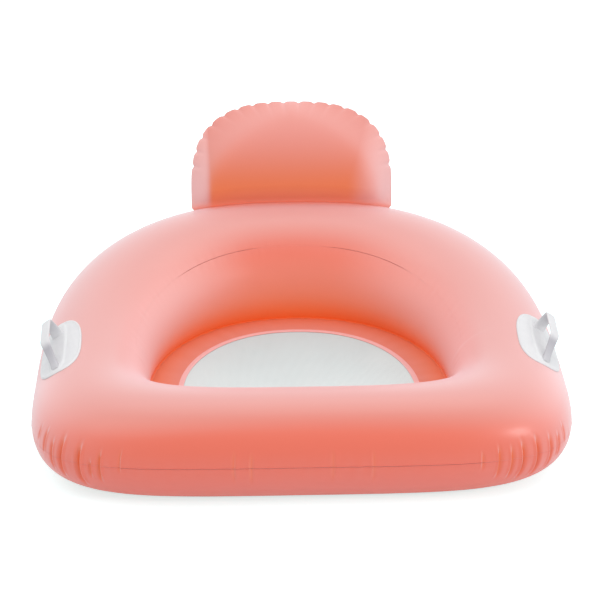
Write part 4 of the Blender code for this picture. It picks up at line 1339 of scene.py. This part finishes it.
def laid_on_film(side, along_by, across_by, lift):
    """A place on the film under the handle, lifted along the film's normal."""
    origin, along, across, outwards = handle_axes(side)
    start = Vector(origin + along * along_by + across * across_by + outwards * 0.2)
    hit, normal, _, _ = top_probe.ray_cast(start, Vector(-outwards))
    return np.array(hit + normal * lift)


def superellipse(half_u, half_v, squareness, turn):
    cosine, sine = np.cos(turn), np.sin(turn)
    return (half_u * np.sign(cosine) * np.abs(cosine) ** (2 / squareness),
            half_v * np.sign(sine) * np.abs(sine) ** (2 / squareness))


# %% The patch with its bead and boss
PATCH_SIDES = 128


def patch_height(u, v, part):
    """Height of the moulding above the film, by its place on the patch."""
    boss = sum((abs(w) / size) ** BOSS_SQUARENESS for w, size in zip((u, v), BOSS_HALF))
    on_boss = smooth_step((BOSS_EDGE - boss ** (1 / BOSS_SQUARENESS)) / BOSS_SOFTNESS)
    bead = bell(part, BEAD_AT, BEAD_SPAN)
    return PATCH_THICKNESS + BEAD_RISE * bead + (BOSS_RISE - PATCH_THICKNESS) * on_boss


def patch(side):
    turns = np.linspace(0, 2 * math.pi, PATCH_SIDES, endpoint=False)
    parts = np.r_[1.0, 1.0, 0.985, 0.97, 0.955, 0.945, 0.93, 0.915, np.linspace(0.89, 0.04, 30)]
    lifts = np.r_[0.0, 0.6, 0.95, np.ones(len(parts) - 3)]
    columns = []
    for turn in turns:
        full_u, full_v = superellipse(*PATCH_HALF, PATCH_SQUARENESS, turn)
        column = []
        for part, rise_share in zip(parts, lifts):
            u, v = full_u * part, full_v * part
            height = GAP + patch_height(u, v, part) * rise_share
            column.append(laid_on_film(side, u, v, height))
        columns.append(column)
    pole = laid_on_film(side, 0, 0, GAP + BOSS_RISE)
    made = woven("patch", columns, white_material, pole=pole)
    write_floats(made.data, thinness=0)
    return made


# %% The bent strap
STRAP_SAMPLES = 240
STRAP_SIDES = 28
STRAP_CROWN_FROM = 0.0468
LEG_SHADE_SPAN = 0.014
REAR_LEG_SHADE, REAR_LEG_SHADE_GAIN, FRONT_LEG_SHADE_GAIN = 0.5, 0.5, 0.6


def strap_line():
    """The strap's middle line: two straight legs and a level crown with soft bends."""
    corners = np.array(STRAP_CORNERS, float)
    corners[:, 1] = STRAP_FOOT_LEVEL + (STRAP_RISE - STRAP_FOOT_LEVEL) * corners[:, 1]
    length = np.r_[0, np.cumsum(np.hypot(*np.diff(corners, axis=0).T))]
    evenly = np.linspace(0, length[-1], STRAP_SAMPLES)
    line = spread(evenly, length, corners)
    reach = int(STRAP_BEND / length[-1] * STRAP_SAMPLES / 2)
    window = np.hanning(2 * reach + 3)[1:-1]
    held = np.pad(line, ((reach, reach), (0, 0)), mode="edge")
    parts = [np.convolve(held[:, k], window / window.sum(), "valid") for k in (0, 1)]
    return np.stack(parts, axis=1)[::3]


def strap(side):
    """A rounded strap swept along its line, wider and thicker at its feet."""
    origin, along, across, outwards = handle_axes(side)
    turns = np.linspace(0, 2 * math.pi, STRAP_SIDES, endpoint=False)
    line = strap_line()
    heading = np.gradient(line, axis=0)
    heading /= np.hypot(*heading.T)[:, None]
    columns, thinness = [], []
    for (u, w), (run, climb) in zip(line, heading):
        low = max(0, 1 - (w - STRAP_FOOT_LEVEL) / (STRAP_RISE - STRAP_FOOT_LEVEL))
        flare = low ** STRAP_FLARE[u > 0]
        root = math.exp(-max(0, w - BOSS_RISE) / ROOT_FILLET[2])
        half_width, half_depth = (
            (thin + (thick - thin) * flare) / 2 + fillet * root
            for thin, thick, fillet in zip(STRAP_CROWN, STRAP_FOOT[u > 0], ROOT_FILLET)
        )
        v, deep = superellipse(half_width, half_depth, STRAP_SQUARENESS, turns)
        columns.append(
            origin + np.outer(u - climb * deep, along) + np.outer(v, across)
            + np.outer(w + run * deep, outwards)
        )
        # Painted shade on the legs, fading out towards the crown.
        leg_shade_share = smooth_step((STRAP_CROWN_FROM - w) / LEG_SHADE_SPAN)
        if u < 0:
            leg_shade_share *= REAR_LEG_SHADE + REAR_LEG_SHADE_GAIN * w / STRAP_RISE
        else:
            leg_shade_share *= FRONT_LEG_SHADE_GAIN * max(0, w) / STRAP_RISE
        thinness.append(np.full(STRAP_SIDES, leg_shade_share))
    made = woven("strap", np.stack(columns, axis=1), white_material)
    write_floats(made.data, thinness=np.stack(thinness, axis=1).ravel())
    return made


# %% Patch and strap as one moulding
def outward_mesh(name, meshes):
    """One mesh from several, with its faces turned outwards."""
    whole = bmesh.new()
    for mesh in meshes:
        whole.from_mesh(mesh)
    bmesh.ops.recalc_face_normals(whole, faces=whole.faces)
    made = bpy.data.meshes.new(name)
    whole.to_mesh(made)
    whole.free()
    return made


def joined(name, pieces):
    mesh = outward_mesh(name, [piece.data for piece in pieces])
    mesh.shade_smooth()
    mesh.materials.append(pieces[0].data.materials[0])
    for piece in pieces:
        bpy.data.objects.remove(piece)
    return put(name, mesh)


handles = {}
for label, side in (("left", -1), ("right", 1)):
    handles[label] = joined("grab_handle_" + label, [patch(side), strap(side)])
print("handle faces:", len(handles["left"].data.polygons))

# %% [markdown]
# ## Valves
# Each valve is a milky push-in stem in a recessed flange, with a plug on a tether and a
# flap inside. Their solids already have the right shape and move on their own joints, so
# they stay and get the milky plastic. The film round each hole is pressed flat against
# the flange, and the hole is cut through the film with a Boolean.

# %% Press the film flat round a valve and cut its hole
VALVE_HOLE_RADIUS = 0.0150
VALVE_SEAT_GAP = 0.0008
FLANGE_RADIUS = 0.019
FLANGE_FACE = 0.0004
PRESS_REACH, PRESS_EASE, PRESS_DEPTH = 2.2, 1.1, 0.02
CUTTER_SIDES = 64
CUTTER_IN, CUTTER_OUT = 0.004, 0.006


def valve_axes(prefix):
    """Centre of the flange's outer face and the way out of the film."""
    slide = prefix.replace("valve", "stem_slide")
    joint = next(j for j in frame["joints"] if j["name"] == slide)
    way = np.array(joint["axis"], float)
    places = read_vectors(frame["nodes"][prefix + "_flange"].data.vertices, "co")
    depth = places @ way
    face = places[depth > depth.max() - FLANGE_FACE]
    return (face.max(axis=0) + face.min(axis=0)) / 2, way


def pressed_flat(obj, centre, way):
    """Film near the valve is drawn to the flange's plane, and eases out beyond it."""
    mesh = obj.data
    places = read_vectors(mesh.vertices, "co")
    offset = places - centre
    height = offset @ way
    across = np.linalg.norm(offset - height[:, None] * way, axis=1)
    hold = smooth_step((FLANGE_RADIUS * PRESS_REACH - across) / (FLANGE_RADIUS * PRESS_EASE))
    hold[np.abs(height) > PRESS_DEPTH] = 0
    wanted = VALVE_SEAT_GAP + FILM
    places += way * (hold * (wanted - height))[:, None]
    write_places(mesh, places)


def hole_cutter(centre, way):
    """A short round plug that stands through the film."""
    sides = CUTTER_SIDES
    turns = np.linspace(0, 2 * math.pi, sides, endpoint=False)
    first = np.cross(way, [1, 0, 0])
    first /= np.linalg.norm(first)
    second = np.cross(way, first)
    circle = centre + VALVE_HOLE_RADIUS * (
        np.outer(np.cos(turns), first) + np.outer(np.sin(turns), second)
    )
    points = np.concatenate([circle - CUTTER_IN * way, circle + CUTTER_OUT * way])
    faces = [(i, (i + 1) % sides, sides + (i + 1) % sides, sides + i) for i in range(sides)]
    faces += [tuple(range(sides - 1, -1, -1)), tuple(range(sides, 2 * sides))]
    mesh = bpy.data.meshes.new("hole_cutter")
    mesh.from_pydata(points.tolist(), [], faces)
    return put("hole_cutter", outward_mesh("hole_cutter", [mesh]))


for prefix, panel in (("ring_valve", ring_top), ("pillow_valve", pillow_faces[1])):
    centre_point, way_out = valve_axes(prefix)
    pressed_flat(panel, centre_point, way_out)
    finished(panel, FILM, hole_cutter(centre_point, way_out))
for panel in (ring_wall, ring_bottom, pillow_faces[0], border):
    finished(panel, FILM)
finished(strip, STRIP_FILM)
finished(foot_strip, FOOT_STRIP_FILM)
print("films have their thickness")

# %% [markdown]
# ## Studio
# The photograph has a white ground with only a soft contact shadow. Two big lamps above
# give the gentle shape, a small one lights the right front corner, and a sky that is
# brighter overhead fills the rest. The ground is lifted to white for camera and mirror
# rays alone, so that no extra light falls on the chair. The lift has a cyan tint, which
# keeps the shadow grey, because the coral film would redden it.

# %% Floor, world and lamps
HORIZON_LIGHT = 0.61
ZENITH_LIGHT = 1.08
FLOOR_COLOUR = (0.70, 0.70, 0.72, 1)
LIFT_COLOUR = (0.66, 1.0, 1.0, 1)
CAMERA_LIFT = 0.69
MIRROR_LIFT = 0.42
FLOOR_HALF = 14


def ray_is(board, *kinds):
    """1 where the ray is of one of these kinds."""
    found = [board.node("ShaderNodeLightPath", None, None, f"Is {kind} Ray") for kind in kinds]
    return found[0] if len(found) == 1 else board.larger(found[0], found[1])


ground = Finish("studio_floor", {"Roughness": 0.9, "IOR": 1.2, "Emission Strength": 1.0})
mirrored = ray_is(ground, "Glossy", "Transmission")
lift = ray_is(ground, "Camera") * CAMERA_LIFT + mirrored * MIRROR_LIFT
ground.surface.inputs["Base Color"].default_value = FLOOR_COLOUR
ground.feed("Emission Color", ground.mix(lift, (0, 0, 0, 1), LIFT_COLOUR))
floor_mesh = bpy.data.meshes.new("studio_floor")
corners = [(x * FLOOR_HALF, y * FLOOR_HALF, 0) for x, y in ((-1, -1), (1, -1), (1, 1), (-1, 1))]
floor_mesh.from_pydata(corners, [], [(0, 1, 2, 3)])
floor_mesh.materials.append(ground.material)
studio_floor = put("studio_floor", floor_mesh)

world = bpy.data.worlds.new("studio")
bpy.context.scene.world = world
world.use_nodes = True
sky = Board(world.node_tree)
backdrop = world.node_tree.nodes["Background"]
backdrop.inputs["Color"].default_value = (1, 1, 1, 1)
direction = sky.node("ShaderNodeTexCoord", output=0)
up = sky.clamped(sky.node("ShaderNodeSeparateXYZ", None, {"Vector": direction}, "Z"))
light = HORIZON_LIGHT + up * (ZENITH_LIGHT - HORIZON_LIGHT)
white = sky.larger(ray_is(sky, "Camera"), ray_is(sky, "Glossy", "Transmission"))
strength = light + white * (1.0 - light)
world.node_tree.links.new(strength.socket, backdrop.inputs["Strength"])


def lamp(name, place, aim, size, power):
    light = bpy.data.lights.new(name, "AREA")
    light.shape = "DISK"
    light.size = size
    light.energy = power
    obj = put(name, light)
    obj.location = place
    obj.rotation_mode = "QUATERNION"
    obj.rotation_quaternion = (Vector(aim) - Vector(place)).to_track_quat("-Z", "Y")


lamp("key_lamp", (-1.3, -2.0, 3.2), (0, 0, 0.1), 2.6, 12)
lamp("top_lamp", (0.1, 0.5, 3.2), (0, 0, 0.1), 2.6, 12)
lamp("corner_lamp", (2.5, -2.3, 1.75), (0.5, -0.3, 0.1), 0.85, 18)
bpy.context.scene.view_settings.view_transform = "Standard"
print("studio ready")

# %% [markdown]
# ## Hand the pieces over
# Every piece rides on the body that carries it and stands for the solid that it
# replaces. The ring, seat, pillow and handles all belong to the float.

# %% Rides and replacements
for piece, nodes, finish_slot in (
    (ring_top, ["ring_top_panel"], "coral_film"),
    (ring_wall, ["ring_inner_wall"], "coral_film"),
    (ring_bottom, ["ring_bottom_panel"], "coral_film"),
    (border, ["seat_border"], "coral_film"),
    (strip, ["seat_weld_strip"], "pale_strip"),
    (net, ["seat_mesh"], "white_net"),
    (pillow_faces[0], ["pillow_front_panel"], "coral_film"),
    (pillow_faces[1], ["pillow_back_panel"], "coral_film"),
    (foot_strip, ["pillow_foot_strip"], "coral_film"),
    (handles["left"], ["handle_left"], "white_moulding"),
    (handles["right"], ["handle_right"], "white_moulding"),
):
    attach(piece, "float")
    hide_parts(*nodes)

for name, node in frame["nodes"].items():
    if "valve" in name:
        node.data.materials.clear()
        node.data.materials.append(valve_material)
